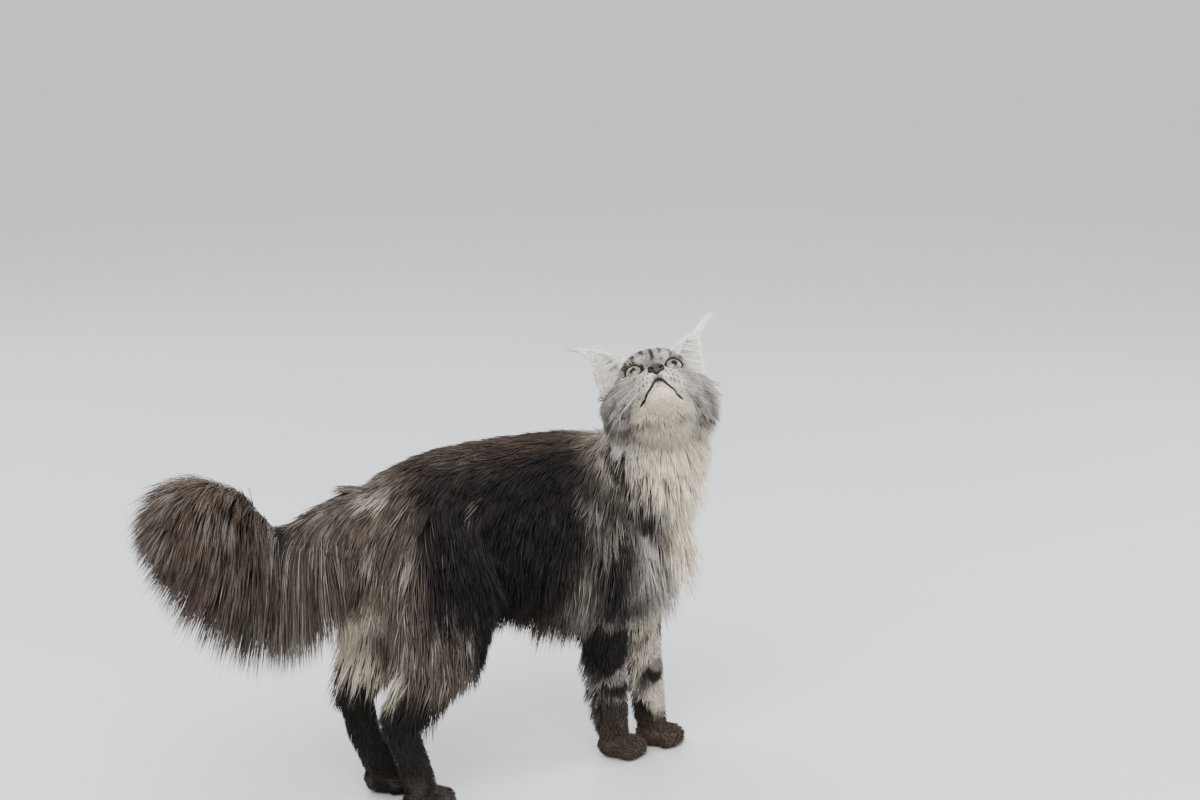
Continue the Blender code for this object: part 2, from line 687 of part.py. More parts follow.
def leg_pieces(body, name, leg, joint, workshop):
    """Takes a leg off the body, then parts it at the elbow or hock and above the paw."""
    body, limb = taken_out(body, leg, workshop)
    upper, lower = parted(limb, *joint, workshop)
    lower = combined(lower, "DIFFERENCE", [beyond((0, 0, WRIST_HEIGHT), DOWN)], workshop)
    return body, {name + "_upper": upper, name + "_lower": lower}


def make_cores(workshop):
    """Every node as a plain form, with the gaps between them."""
    body = make_body(workshop)
    cores = {}
    limbs = (
        ("foreleg_right", RIGHT_FORELEG, ELBOW, PAW_HEADING),
        ("foreleg_left", LEFT_FORELEG, ELBOW, PAW_HEADING),
        ("hindleg_right", RIGHT_HINDLEG, STIFLE, HIND_PAW_HEADING),
        ("hindleg_left", LEFT_HINDLEG, STIFLE, HIND_PAW_HEADING),
    )
    for name, leg, joint, heading in limbs:
        body, pieces = leg_pieces(body, name, leg, joint, workshop)
        cores.update(pieces)
        cores[name + "_paw"] = make_paw(leg, heading, workshop)
    body = parted(body, (TAIL_ROOT + GAP, 0, 0), (-1, 0, 0), workshop)[0]
    torso, neck = parted(body, NECK_BASE, NECK_WAY, workshop)
    cores["torso"] = torso
    cores.update(tail_core(workshop))
    head = make_head(workshop)
    cores["neck"] = combined(neck, "DIFFERENCE", [swollen(head, GAP)], workshop)
    cores["torso"] = combined(cores["torso"], "DIFFERENCE", [swollen(head, GAP)], workshop)
    for word, side in (("left", 1), ("right", -1)):
        cores["ear_" + word] = make_ear(side, head, workshop)
        cores["eye_" + word] = eye_ball(side, EYE_RADIUS)
    cores["head"] = head
    return cores


def lock(root, out, lie, length, size, rise, droop, twist):
    """A flat, bent lock that tapers to a point, sunk by its root into the skin."""
    width, thick = size
    out = Vector(out).normalized()
    lie = (lie - out * lie.dot(out)).normalized()
    way = out * math.sin(rise) + lie * math.cos(rise)
    spine, ways = [root - out * ROOT_DEPTH], [way]
    spans, wides, deeps = LONG_SHAPE if length > LONG_LOCK else SHORT_SHAPE
    for span in spans:
        spine.append(spine[-1] + way * (span * (length + ROOT_DEPTH)))
        way = (way + DOWN * (droop * span)).normalized()
        ways.append(way)
    bm = bmesh.new()
    rings = []
    for centre, ahead, wide, deep in zip(spine, ways, wides, deeps):
        side = Matrix.Rotation(twist, 3, ahead) @ ahead.cross(out).normalized()
        face = side.cross(ahead)
        offsets = (side * (width * wide / 2), face * (thick * deep / 2))
        corners = (centre + offsets[0], centre + offsets[1], centre - offsets[0], centre - offsets[1])
        rings.append([bm.verts.new(corner) for corner in corners])
    tip = bm.verts.new(spine[-1])
    bm.faces.new(rings[0])
    for near, far in zip(rings, rings[1:]):
        for k in range(4):
            after = (k + 1) % 4
            bm.faces.new((near[k], near[after], far[after], far[k]))
    for k in range(4):
        bm.faces.new((rings[-1][k], rings[-1][(k + 1) % 4], tip))
    bmesh.ops.recalc_face_normals(bm, faces=bm.faces[:])
    return mesh_of(bm, "lock")


def spots(tree, start, end, zero, angles, along):
    """Places on a node's surface in rows round a line inside it: (place, outward, share along)."""
    start, end = Vector(start), Vector(end)
    ahead = (end - start).normalized()
    zero = (zero - ahead * ahead.dot(zero)).normalized()
    side = zero.cross(ahead)
    first, last, around = angles
    found = []
    for i in range(along):
        for k in range(around):
            share = (i + 0.5 * (k % 2)) / max(along - 0.5, 1)
            turn = math.radians(first + (last - first) * k / max(around - 1, 1))
            turn += random.uniform(-0.09, 0.09)
            out = zero * math.cos(turn) + side * math.sin(turn)
            middle = start.lerp(end, min(share, 1))
            hit = tree.ray_cast(middle + out * 0.2, -out)
            if hit[0] is not None and (hit[0] - middle).dot(out) > 0:
                found.append((hit[0], out, share))
    return found


def grow(node, cores, grown, found, lengths, size, lie, rise, droop):
    """Sets locks on a node, each clear of every other node and of the locks they carry."""
    others = [mesh for name, mesh in cores.items() if name != node]
    others += [mesh for name, mesh in grown if name != node]
    barrier = tree_of(others)
    for place, out, share in found:
        length = lengths[0] + (lengths[1] - lengths[0]) * share
        length *= random.uniform(1 - 0.5 * SPREAD, 1 + 0.25 * SPREAD)
        strand = Vector(lie) + Vector(random.uniform(-SPREAD, SPREAD) for _ in range(3)) * 0.6
        twist = random.uniform(-0.35, 0.35)
        for lift, shorter in TRIES:
            tilt = math.radians(rise + lift)
            made = lock(place, out, strand, length * shorter, size, tilt, droop, twist)
            lowest = min(vertex.co.z for vertex in made.vertices)
            if lowest > FLOOR_CLEARANCE and not tree_of([swollen(made, 2 * GAP)]).overlap(barrier):
                grown.append((node, made))
                break


def make_coat(cores):
    """All the locks of the long coat, each with the node it belongs to."""
    random.seed(SEED)
    place = head_frame()
    turned = place.to_3x3()
    grown = []
    for node, start, end, zero, angles, along, lengths, size, lie, rise, droop in COAT:
        found = spots(tree_of([cores[node]]), start, end, zero, angles, along)
        grow(node, cores, grown, found, lengths, size, lie, rise, droop)
    cheek = [place @ point for point in CHEEK_LINE]
    for side in (1, -1):
        zero = turned @ Vector((0, side, -0.45))
        found = spots(tree_of([cores["head"]]), *cheek, zero, (-40, 40, 3), 2)
        lie = turned @ Vector((-0.8, side * 0.3, -0.55))
        grow("head", cores, grown, found, *CHEEK_LOCKS, lie, 24, 0.2)
    for word, side in (("left", 1), ("right", -1)):
        mirror = Matrix.Diagonal((1, side, 1))
        tip = place @ (mirror @ (EAR_TIP - Vector((0, 0.0015, 0.006))))
        for sway in EAR_TUFT_SWAYS:
            out = turned @ (mirror @ Vector((sway, 0.62, 0.78)))
            lie = turned @ (mirror @ Vector((sway, 0.9, 0.3)))
            grow("ear_" + word, cores, grown, [(tip, out, 0)], *EAR_TUFT, lie, 60, 0.0)
    for name in cores:
        if name.endswith("_paw"):
            heading = PAW_HEADING if "fore" in name else HIND_PAW_HEADING
            ahead = Matrix.Rotation(heading, 3, "Z") @ AHEAD
            box = [vertex.co for vertex in cores[name].vertices]
            middle = sum(box, Vector()) / len(box)
            middle.z = TOE_HEIGHT
            found = spots(tree_of([cores[name]]), middle, middle + UP * 0.001, ahead, (-50, 50, 3), 1)
            grow(name, cores, grown, found, *TOE_LOCKS, ahead + DOWN * 0.2, 25, 0.0)
    return grown


def main():
    clear_scene()
    cat = new_collection("maine_coon_cat")
    workshop = new_collection("workshop")
    workshop.hide_render = True
    stand = bpy.data.objects.new("standing_place", None)
    stand.location = -FOOTPRINT_CENTRE
    cat.objects.link(stand)
    forms = make_cores(workshop)
    coat = make_coat(forms)
    for name in forms:
        locks = [mesh for node, mesh in coat if node == name]
        if locks:
            forms[name] = combined(forms[name], "UNION", locks, workshop)
    for name, colour, roughness in NODES:
        mesh = forms[name]
        mesh.materials.clear()
        mesh.materials.append(material(name, colour, roughness))
        obj = in_scene(name, mesh, cat)
        obj.parent = stand
    bpy.data.collections.remove(workshop)


main()
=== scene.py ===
import json
import math

import bmesh
import bpy
import numpy as np
from mathutils import Matrix, Vector
from mathutils.bvhtree import BVHTree
from mathutils.kdtree import KDTree


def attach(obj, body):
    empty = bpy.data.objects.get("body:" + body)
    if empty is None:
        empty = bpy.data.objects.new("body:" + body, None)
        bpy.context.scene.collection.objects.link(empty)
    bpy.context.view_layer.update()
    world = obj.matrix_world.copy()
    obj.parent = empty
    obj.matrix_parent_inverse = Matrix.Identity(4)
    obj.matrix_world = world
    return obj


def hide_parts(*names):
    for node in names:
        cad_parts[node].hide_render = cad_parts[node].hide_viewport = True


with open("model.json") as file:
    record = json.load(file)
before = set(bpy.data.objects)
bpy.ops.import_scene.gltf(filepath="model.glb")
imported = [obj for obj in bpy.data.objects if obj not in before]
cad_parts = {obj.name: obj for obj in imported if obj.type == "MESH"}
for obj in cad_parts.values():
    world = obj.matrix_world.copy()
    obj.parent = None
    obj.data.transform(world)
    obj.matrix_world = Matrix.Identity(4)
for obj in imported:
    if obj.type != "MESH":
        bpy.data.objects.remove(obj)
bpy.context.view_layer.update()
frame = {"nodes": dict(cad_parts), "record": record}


# Skin
# The cat's hide from nose to tail tip, all of one piece under the coat. It is grown here from
# the same rounded forms as the solids, drawn in by the depth of the coat that lies on it.

# The cat's own place: trunk along +X, left side +Y, soles on z = 0. SOLE is the middle of its
# right fore paw there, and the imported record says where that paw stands.
SOLE = Vector((0.0915, -0.0029, 0))
FORE_SOLE = next(mount for mount in frame["record"]["mounts"] if mount["name"] == "sole_fore_right")
STAND = Vector(FORE_SOLE["pos_m"]) - SOLE
UP = Vector((0, 0, 1))
DOWN = Vector((0, 0, -1))
AHEAD = Vector((1, 0, 0))

# Each line: centre, half width, reach to the front or top, reach to the back or bottom. The tail is
# round, so its lines have one radius.
TRUNK = (
    ((-0.210, -0.003, 0.290), 0.014, 0.014, 0.018),
    ((-0.192, 0.000, 0.286), 0.028, 0.026, 0.034),
    ((-0.163, 0.002, 0.280), 0.044, 0.046, 0.050),
    ((-0.120, 0.002, 0.278), 0.050, 0.062, 0.058),
    ((-0.070, 0.004, 0.280), 0.049, 0.067, 0.060),
    ((-0.010, 0.010, 0.276), 0.054, 0.071, 0.066),
    ((0.045, 0.014, 0.270), 0.057, 0.075, 0.072),
    ((0.090, 0.010, 0.262), 0.054, 0.074, 0.070),
    ((0.118, -0.002, 0.252), 0.045, 0.062, 0.054),
    ((0.140, -0.014, 0.246), 0.028, 0.042, 0.032),
    ((0.150, -0.020, 0.244), 0.012, 0.018, 0.014),
)
NECK = (
    ((0.070, 0.014, 0.262), 0.042, 0.042, 0.042),
    ((0.096, 0.000, 0.296), 0.043, 0.048, 0.044),
    ((0.112, -0.020, 0.330), 0.040, 0.044, 0.043),
    ((0.120, -0.034, 0.364), 0.037, 0.038, 0.040),
    ((0.121, -0.038, 0.384), 0.028, 0.028, 0.032),
)
RIGHT_FORELEG = (
    ((0.074, -0.030, 0.262), 0.022, 0.032, 0.034),
    ((0.078, -0.030, 0.220), 0.024, 0.031, 0.033),
    ((0.071, -0.024, 0.178), 0.021, 0.025, 0.028),
    ((0.072, -0.018, 0.148), 0.0180, 0.019, 0.022),
    ((0.078, -0.010, 0.100), 0.0158, 0.0160, 0.0190),
    ((0.085, -0.004, 0.055), 0.0145, 0.0142, 0.0165),
    ((0.088, -0.001, 0.030), 0.0135, 0.0140, 0.0145),
)
LEFT_FORELEG = (
    ((0.112, 0.042, 0.262), 0.022, 0.030, 0.034),
    ((0.128, 0.040, 0.220), 0.024, 0.031, 0.033),
    ((0.136, 0.034, 0.178), 0.021, 0.025, 0.026),
    ((0.136, 0.027, 0.148), 0.0175, 0.019, 0.020),
    ((0.136, 0.018, 0.100), 0.0150, 0.0155, 0.0160),
    ((0.138, 0.011, 0.055), 0.0135, 0.0140, 0.0140),
    ((0.139, 0.009, 0.030), 0.0135, 0.0140, 0.0140),
)
RIGHT_HINDLEG = (
    ((-0.136, -0.030, 0.302), 0.020, 0.034, 0.026),
    ((-0.130, -0.040, 0.260), 0.026, 0.049, 0.040),
    ((-0.118, -0.044, 0.216), 0.026, 0.049, 0.047),
    ((-0.116, -0.047, 0.178), 0.022, 0.038, 0.042),
    ((-0.136, -0.048, 0.142), 0.017, 0.023, 0.026),
    ((-0.158, -0.045, 0.114), 0.0135, 0.016, 0.018),
    ((-0.166, -0.043, 0.097), 0.0125, 0.0145, 0.0155),
    ((-0.156, -0.040, 0.062), 0.0122, 0.0135, 0.0135),
    ((-0.144, -0.035, 0.030), 0.0125, 0.0135, 0.0135),
)
LEFT_HINDLEG = (
    ((-0.142, 0.032, 0.302), 0.020, 0.034, 0.026),
    ((-0.140, 0.042, 0.260), 0.026, 0.049, 0.040),
    ((-0.134, 0.044, 0.216), 0.026, 0.049, 0.047),
    ((-0.138, 0.046, 0.178), 0.022, 0.038, 0.042),
    ((-0.155, 0.042, 0.146), 0.017, 0.023, 0.024),
    ((-0.174, 0.036, 0.121), 0.0135, 0.016, 0.016),
    ((-0.181, 0.033, 0.104), 0.0125, 0.0145, 0.0140),
    ((-0.175, 0.030, 0.064), 0.0122, 0.0135, 0.0135),
    ((-0.160, 0.028, 0.030), 0.0125, 0.0135, 0.0135),
)
TAIL = (
    ((-0.180, 0.000, 0.302), 0.017),
    ((-0.222, -0.010, 0.296), 0.014),
    ((-0.252, -0.022, 0.288), 0.013),
    ((-0.282, -0.038, 0.288), 0.013),
    ((-0.310, -0.055, 0.304), 0.013),
    ((-0.338, -0.073, 0.328), 0.012),
    ((-0.358, -0.086, 0.342), 0.010),
    ((-0.374, -0.095, 0.348), 0.008),
    ((-0.382, -0.100, 0.347), 0.004),
)
PAW_HEADING = math.radians(-28)
HIND_PAW_HEADING = math.radians(-20)
PAWS = (
    (RIGHT_FORELEG[-1][0], PAW_HEADING),
    (LEFT_FORELEG[-1][0], PAW_HEADING),
    (RIGHT_HINDLEG[-1][0], HIND_PAW_HEADING),
    (LEFT_HINDLEG[-1][0], HIND_PAW_HEADING),
)

# The head's own frame: origin midway between the eyes, X out of the face, Y to the cat's left,
# Z out of the crown.
EYES_MIDPOINT = Vector((0.0987, -0.0628, 0.4194))
FACE_AHEAD = Vector((-0.381, -0.535, 0.754)).normalized()
FACE_LEFT = Vector((0.900, -0.400, 0.171))
FACE_LEFT = (FACE_LEFT - FACE_AHEAD * FACE_LEFT.dot(FACE_AHEAD)).normalized()
FACE_TURN = Matrix((FACE_AHEAD, FACE_LEFT, FACE_AHEAD.cross(FACE_LEFT))).transposed()
HEAD = Matrix.Translation(EYES_MIDPOINT) @ FACE_TURN.to_4x4()
CROWN = FACE_TURN @ UP

EYE_RADIUS = 0.0115
EYE_PLACE = Vector((-0.0060, 0.0178, 0.0))
EYE_TURN = math.radians(16)
EYE_SLANT = math.radians(9)
EYE_OPENING = (0.0192, 0.0142)
LID = 0.0012
SOCKET_PLAY = 0.0001

EAR_INNER_BASE = Vector((-0.034, 0.015, 0.030))
EAR_OUTER_BASE = Vector((-0.048, 0.047, 0.008))
EAR_TIP = Vector((-0.046, 0.0540, 0.0765))
EAR_TOP = 0.985
EAR_BULGE = 0.0085
EAR_CUP = 0.018
EAR_WALL = 0.0024

BODY_VOXEL = 0.0030
HEAD_VOXEL = 0.00125


def belt(bm, near, far):
    """A closed belt of faces between two rings of corners."""
    for k in range(len(near)):
        after = (k + 1) % len(near)
        bm.faces.new((near[k], near[after], far[after], far[k]))


def add_loft(bm, sections, front=UP, sides=32):
    """A closed form through egg-shaped sections, each (centre, half width, front, back)."""
    centres = [Vector(section[0]) for section in sections]
    rings = []
    for i, (_, wide, fore, aft) in enumerate(sections):
        ahead = centres[min(i + 1, len(centres) - 1)] - centres[max(i - 1, 0)]
        side = front.cross(ahead).normalized()
        face = ahead.cross(side).normalized()
        ring = []
        for k in range(sides):
            turn = math.tau * k / sides
            reach = fore if math.sin(turn) > 0 else aft
            offset = side * (wide * math.cos(turn)) + face * (reach * math.sin(turn))
            ring.append(bm.verts.new(centres[i] + offset))
        rings.append(ring)
    for near, far in zip(rings, rings[1:]):
        belt(bm, near, far)
    bm.faces.new(rings[0][::-1])
    bm.faces.new(rings[-1])


def rounded(sections, steps=4):
    """More sections between the given ones, on a smooth curve through all their numbers."""
    rows = np.array([[*centre, *sizes] for centre, *sizes in sections])
    ends = np.vstack([2 * rows[0] - rows[1], rows, 2 * rows[-1] - rows[-2]])
    made = []
    for i in range(len(rows) - 1):
        before, start, end, after = ends[i : i + 4]
        for k in range(steps):
            t = k / steps
            square = 2 * before - 5 * start + 4 * end - after
            cube = 3 * start - before - 3 * end + after
            made.append(start + 0.5 * ((end - before) * t + (square * t * t + cube * t**3)))
    made.append(rows[-1])
    return [(tuple(row[:3]), *row[3:]) for row in made]


def add_egg(bm, place, centre, radii):
    """A rounded mass of flesh, placed in the frame of the part it belongs to."""
    matrix = place @ Matrix.Translation(centre) @ Matrix.Diagonal((*radii, 1))
    bmesh.ops.create_uvsphere(bm, u_segments=32, v_segments=20, radius=1, matrix=matrix)


def mesh_from(bm, name):
    """The finished mesh of a form; the form itself is used up."""
    mesh = bpy.data.meshes.new(name)
    bm.to_mesh(mesh)
    bm.free()
    return mesh


def piece_of(name, mesh):
    """Puts a mesh, made in the cat's own place, into the scene where the cat stands."""
    mesh.transform(Matrix.Translation(STAND))
    piece = bpy.data.objects.new(name, mesh)
    bpy.context.scene.collection.objects.link(piece)
    return piece


def worked(mesh, *steps):
    """A mesh after some modifiers, each (type, settings)."""
    tool = bpy.data.objects.new("worked", mesh)
    bpy.context.scene.collection.objects.link(tool)
    for kind, settings in steps:
        modifier = tool.modifiers.new(kind.lower(), kind)
        for key, value in settings.items():
            setattr(modifier, key, value)
    graph = bpy.context.evaluated_depsgraph_get()
    made = bpy.data.meshes.new_from_object(tool.evaluated_get(graph))
    bpy.data.objects.remove(tool)
    made.materials.clear()
    return made


def fused(bm, voxel, softening):
    """Melts overlapping closed forms into one skin."""
    melt = ("REMESH", {"mode": "VOXEL", "voxel_size": voxel})
    return worked(mesh_from(bm, "fused"), melt, ("SMOOTH", {"factor": 0.5, "iterations": softening}))


def combined(mesh, operation, other):
    """A Boolean between two closed meshes."""
    tool = bpy.data.objects.new("tool", other)
    bpy.context.scene.collection.objects.link(tool)
    made = worked(mesh, ("BOOLEAN", {"operation": operation, "object": tool, "solver": "MANIFOLD"}))
    bpy.data.objects.remove(tool)
    return made


def eye_centre(side):
    """The middle of an eye in the head's frame, 1 for the left eye and -1 for the right."""
    return Vector((EYE_PLACE.x, side * EYE_PLACE.y, EYE_PLACE.z))


def eye_frame(side):
    """The eye's own frame: its Z looks out of the pupil, its X lies across the opening."""
    turn = Matrix.Rotation(side * EYE_TURN, 4, "Z") @ Matrix.Rotation(side * EYE_SLANT, 4, "X")
    look = Matrix(((0, 0, 1), (1, 0, 0), (0, 1, 0))).to_4x4()
    return HEAD @ Matrix.Translation(eye_centre(side)) @ turn @ look


def almond(share):
    """The rim of the eye's opening seen from in front: round below, pulled out to its corners."""
    turn = math.tau * share
    across = EYE_OPENING[0] / 2 * math.cos(turn)
    tall = EYE_OPENING[1] / 2 * math.sin(turn) * (1 - 0.25 * math.cos(turn) ** 2)
    return across, tall


def ear_point(rise, way):
    """A point of the left ear's middle sheet: rise from base to tip, way from inner to outer edge."""
    toward_crown = Vector((0.1, -0.8, 0.6)).normalized()
    back = Vector((-1, 0.25, 0.10)).normalized()
    inner = EAR_INNER_BASE.lerp(EAR_TIP, rise)
    inner += toward_crown * (EAR_BULGE * math.sin(math.pi * rise**0.8))
    outer = EAR_OUTER_BASE.lerp(EAR_TIP, rise)
    outer -= toward_crown * (EAR_BULGE * 0.35 * math.sin(math.pi * rise))
    cup = EAR_CUP * (1 - rise) ** 0.7
    bulge = math.sqrt(max(0.0, 1 - (2 * way - 1) ** 2 * 0.92))
    return inner.lerp(outer, way) + back * (cup * bulge)


def add_ear(bm, side, cells=20):
    """A tall cup of thin skin with a pointed tip."""
    sheet = bmesh.new()
    shares = [k / cells for k in range(cells + 1)]
    grid = [[sheet.verts.new(ear_point(rise * EAR_TOP, way)) for way in shares] for rise in shares]
    for low, high in zip(grid, grid[1:]):
        for k in range(cells):
            sheet.faces.new((low[k], low[k + 1], high[k + 1], high[k]))
    sheet.transform(HEAD @ Matrix.Diagonal((1, side, 1)).to_4x4())
    bmesh.ops.recalc_face_normals(sheet, faces=sheet.faces[:])
    bm.from_mesh(worked(mesh_from(sheet, "ear"), ("SOLIDIFY", {"thickness": EAR_WALL, "offset": 0})))


def add_paw(bm, ankle, heading):
    """The foot under an ankle, with two long toes in the middle and a short one on each side."""
    place = Matrix.Translation((ankle[0], ankle[1], 0)) @ Matrix.Rotation(heading, 4, "Z")
    add_egg(bm, place, (0.003, 0, 0.0125), (0.0195, 0.0160, 0.0125))
    for side in (-1, 1):
        add_egg(bm, place, (0.0235, side * 0.0062, 0.0098), (0.0102, 0.0069, 0.0094))
        add_egg(bm, place, (0.0160, side * 0.0148, 0.0090), (0.0098, 0.0062, 0.0086))


def body_skin():
    """Trunk, neck, legs, feet and tail."""
    bm = bmesh.new()
    add_loft(bm, rounded(TRUNK))
    add_loft(bm, rounded(NECK), front=AHEAD)
    for leg in (RIGHT_FORELEG, LEFT_FORELEG, RIGHT_HINDLEG, LEFT_HINDLEG):
        add_loft(bm, rounded(leg), front=AHEAD)
        low_end = ((*leg[-1][0][:2], 0.012), 0.012, 0.012, 0.012)
        add_loft(bm, (leg[-2], leg[-1], low_end), front=AHEAD)
    for ankle, heading in PAWS:
        add_paw(bm, ankle, heading)
    add_loft(bm, rounded([(centre, r, r, r) for centre, r in TAIL]))
    return fused(bm, BODY_VOXEL, 5)


def head_skin():
    """Skull, cheeks, muzzle, chin and ears, with lids open over the eyes and a line for the mouth."""
    bm = bmesh.new()
    add_egg(bm, HEAD, (-0.042, 0, -0.001), (0.043, 0.040, 0.038))  # skull
    add_egg(bm, HEAD, (-0.020, 0, 0.008), (0.026, 0.032, 0.024))  # forehead
    for side in (1, -1):
        add_egg(bm, HEAD, (-0.036, side * 0.026, -0.013), (0.028, 0.024, 0.022))  # jaw muscle
        add_egg(bm, HEAD, (-0.011, side * 0.0235, -0.0170), (0.0205, 0.0165, 0.0155))  # cheekbone
        add_egg(bm, HEAD, (0.0155, side * 0.0100, -0.0305), (0.0155, 0.0115, 0.0100))  # whisker pad
        add_egg(bm, HEAD, eye_centre(side), (EYE_RADIUS + LID,) * 3)
        add_ear(bm, side)
    sections = [
        (tuple(HEAD @ Vector((x, 0, z - 0.006))), wide, 0.006, 0.010)
        for x, wide, z in (
            (-0.018, 0.013, 0.012),
            (-0.006, 0.0088, 0.0055),
            (0.004, 0.0080, -0.0020),
            (0.019, 0.0074, -0.0135),
        )
    ]
    add_loft(bm, rounded(sections), front=CROWN)  # bridge of the nose
    add_egg(bm, HEAD, (0.003, 0, -0.026), (0.024, 0.020, 0.018))  # muzzle
    add_egg(bm, HEAD, (0.0238, 0, -0.0222), (0.0070, 0.0076, 0.0060))  # nose
    add_egg(bm, HEAD, (0.0100, 0, -0.0435), (0.0160, 0.0140, 0.0100))  # chin
    add_egg(bm, HEAD, (-0.018, 0, -0.035), (0.034, 0.028, 0.017))  # throat
    head = fused(bm, HEAD_VOXEL, 6)
    sockets, openings = bmesh.new(), bmesh.new()
    for side in (1, -1):
        ball = eye_frame(side)
        size = EYE_RADIUS + SOCKET_PLAY
        bmesh.ops.create_uvsphere(sockets, u_segments=40, v_segments=24, radius=size, matrix=ball)
        low, high = [], []
        for k in range(40):
            across, tall = almond(k / 40)
            low.append(openings.verts.new(ball @ Vector((across, tall, 0.002))))
            high.append(openings.verts.new(ball @ Vector((across, tall, 0.030))))
        belt(openings, low, high)
        openings.faces.new(low[::-1])
        openings.faces.new(high)
    head = combined(head, "DIFFERENCE", mesh_from(sockets, "sockets"))
    return combined(head, "DIFFERENCE", mesh_from(openings, "openings"))


skin_mesh = combined(body_skin(), "UNION", head_skin())


# Coat lie
# Each form of the body combs its hair its own way: back along the spine, down the flanks, straight
# down at ruff, belly and britches, along the legs and tail, and away from the nose on the face.


def against(points, sections):
    """Points set against a form: gap to its surface, share of its length, way out, way along."""
    path = np.array([section[0] for section in sections])
    sizes = np.array([np.mean(section[1:]) for section in sections])
    steps = np.diff(path, axis=0)
    runs = np.concatenate([[0], np.cumsum(np.linalg.norm(steps, axis=1))])
    gap = np.full(len(points), np.inf)
    share = np.zeros(len(points))
    out = np.zeros_like(points)
    along = np.zeros_like(points)
    for k, step in enumerate(steps):
        way = np.clip((points - path[k]) @ step / (step @ step), 0, 1)
        off = points - path[k] - way[:, None] * step
        far = np.linalg.norm(off, axis=1)
        here = far - sizes[k] - way * (sizes[k + 1] - sizes[k])
        closer = here < gap
        gap[closer] = here[closer]
        share[closer] = ((runs[k] + way * (runs[k + 1] - runs[k])) / runs[-1])[closer]
        out[closer] = (off / np.maximum(far, 1e-6)[:, None])[closer]
        along[closer] = step / np.linalg.norm(step)
    return gap, share, out, along


def unit(vectors):
    """The same ways, each of length 1."""
    return vectors / np.maximum(np.linalg.norm(vectors, axis=-1, keepdims=True), 1e-9)


def ease(low, high, values):
    """0 below low, 1 above high, smooth between."""
    t = np.clip((values - low) / (high - low), 0, 1)
    return t * t * (3 - 2 * t)


def blend(low, high, share):
    """Numbers, colours or ways mixed by a share."""
    low, high, share = np.asarray(low), np.asarray(high), np.asarray(share)
    if (3,) in (low.shape[-1:], high.shape[-1:]):
        share = share[..., None]
    return low + (high - low) * share


def band(points, path, width, edge=0.5):
    """1 on a stripe along a path, fading out over its edge."""
    path = np.array(path)
    far = np.full(len(points), np.inf)
    for start, end in zip(path, path[1:]):
        step = end - start
        way = np.clip((points - start) @ step / (step @ step), 0, 1)
        far = np.minimum(far, np.linalg.norm(points - start - way[:, None] * step, axis=1))
    return ease(width * (1 + edge), width * (1 - edge), far)


HEAD_ROWS = np.array(HEAD.inverted())
HEAD_TURN = np.array(FACE_TURN)
DOWNWARD = np.array(DOWN)
BACKWARD = np.array((-1.0, 0.0, 0.0))
FRONTWARD = np.array((1.0, 0.0, 0.0))
BREASTWARD = np.array((0.79, -0.61, 0.0))
PAW_AHEAD = np.array((math.cos(PAW_HEADING), math.sin(PAW_HEADING), 0))
HIND_PAW_AHEAD = np.array((math.cos(HIND_PAW_HEADING), math.sin(HIND_PAW_HEADING), 0))
SKULL = [
    (tuple(HEAD @ Vector(centre)), radius)
    for centre, radius in (
        ((-0.048, 0, -0.004), 0.038),
        ((-0.030, 0, -0.006), 0.042),
        ((0.004, 0, -0.022), 0.024),
    )
]
FORMS = (TRUNK, NECK, SKULL, RIGHT_FORELEG, LEFT_FORELEG, RIGHT_HINDLEG, LEFT_HINDLEG, TAIL)
ON_TRUNK, ON_NECK, ON_HEAD, ON_FORE_RIGHT, ON_FORE_LEFT, ON_HIND_RIGHT, ON_HIND_LEFT, ON_TAIL = range(8)
SOFTNESS = 0.009  # how far one form's lie of the hair runs into the next

# In the head's frame: the lip line of the left side, from the corner of the mouth to under the
# nose, and the cleft from the nose down to it.
LIP = (
    (0.0005, 0.0202, -0.0420),
    (0.0120, 0.0155, -0.0420),
    (0.0218, 0.0096, -0.0402),
    (0.0268, 0.0050, -0.0352),
    (0.0262, 0, -0.0325),
)
CLEFT = ((0.031, 0, -0.0260), (0.0262, 0, -0.0325))

# The way an ear opens: the left one's in the head's frame, and one in the cat's that serves both.
EAR_OPENING = Vector((1, -0.25, -0.10)).normalized()
INSIDE_EAR = HEAD_TURN @ np.array((1, 0, -0.1))


def in_head(points):
    """The points in the head's own frame."""
    return points @ HEAD_ROWS[:3, :3].T + HEAD_ROWS[:3, 3]


def right_on_left(local):
    """The head's points with its right half folded onto its left."""
    return np.column_stack([local[:, 0], np.abs(local[:, 1]), local[:, 2]])


def ear_rise(local):
    """How far up an ear a point of the head lies: 0 at its base, 1 at its tip, -1 off the ear."""
    folded = right_on_left(local)
    base = np.array((-0.041, 0.031, 0.019))
    axis = np.array(EAR_TIP) - base
    rise = (folded - base) @ axis / (axis @ axis)
    off = np.linalg.norm(folded - base - np.clip(rise, 0, 1)[:, None] * axis, axis=1)
    return np.where(off < 0.034 - 0.018 * np.clip(rise, 0, 1), rise, -1.0)


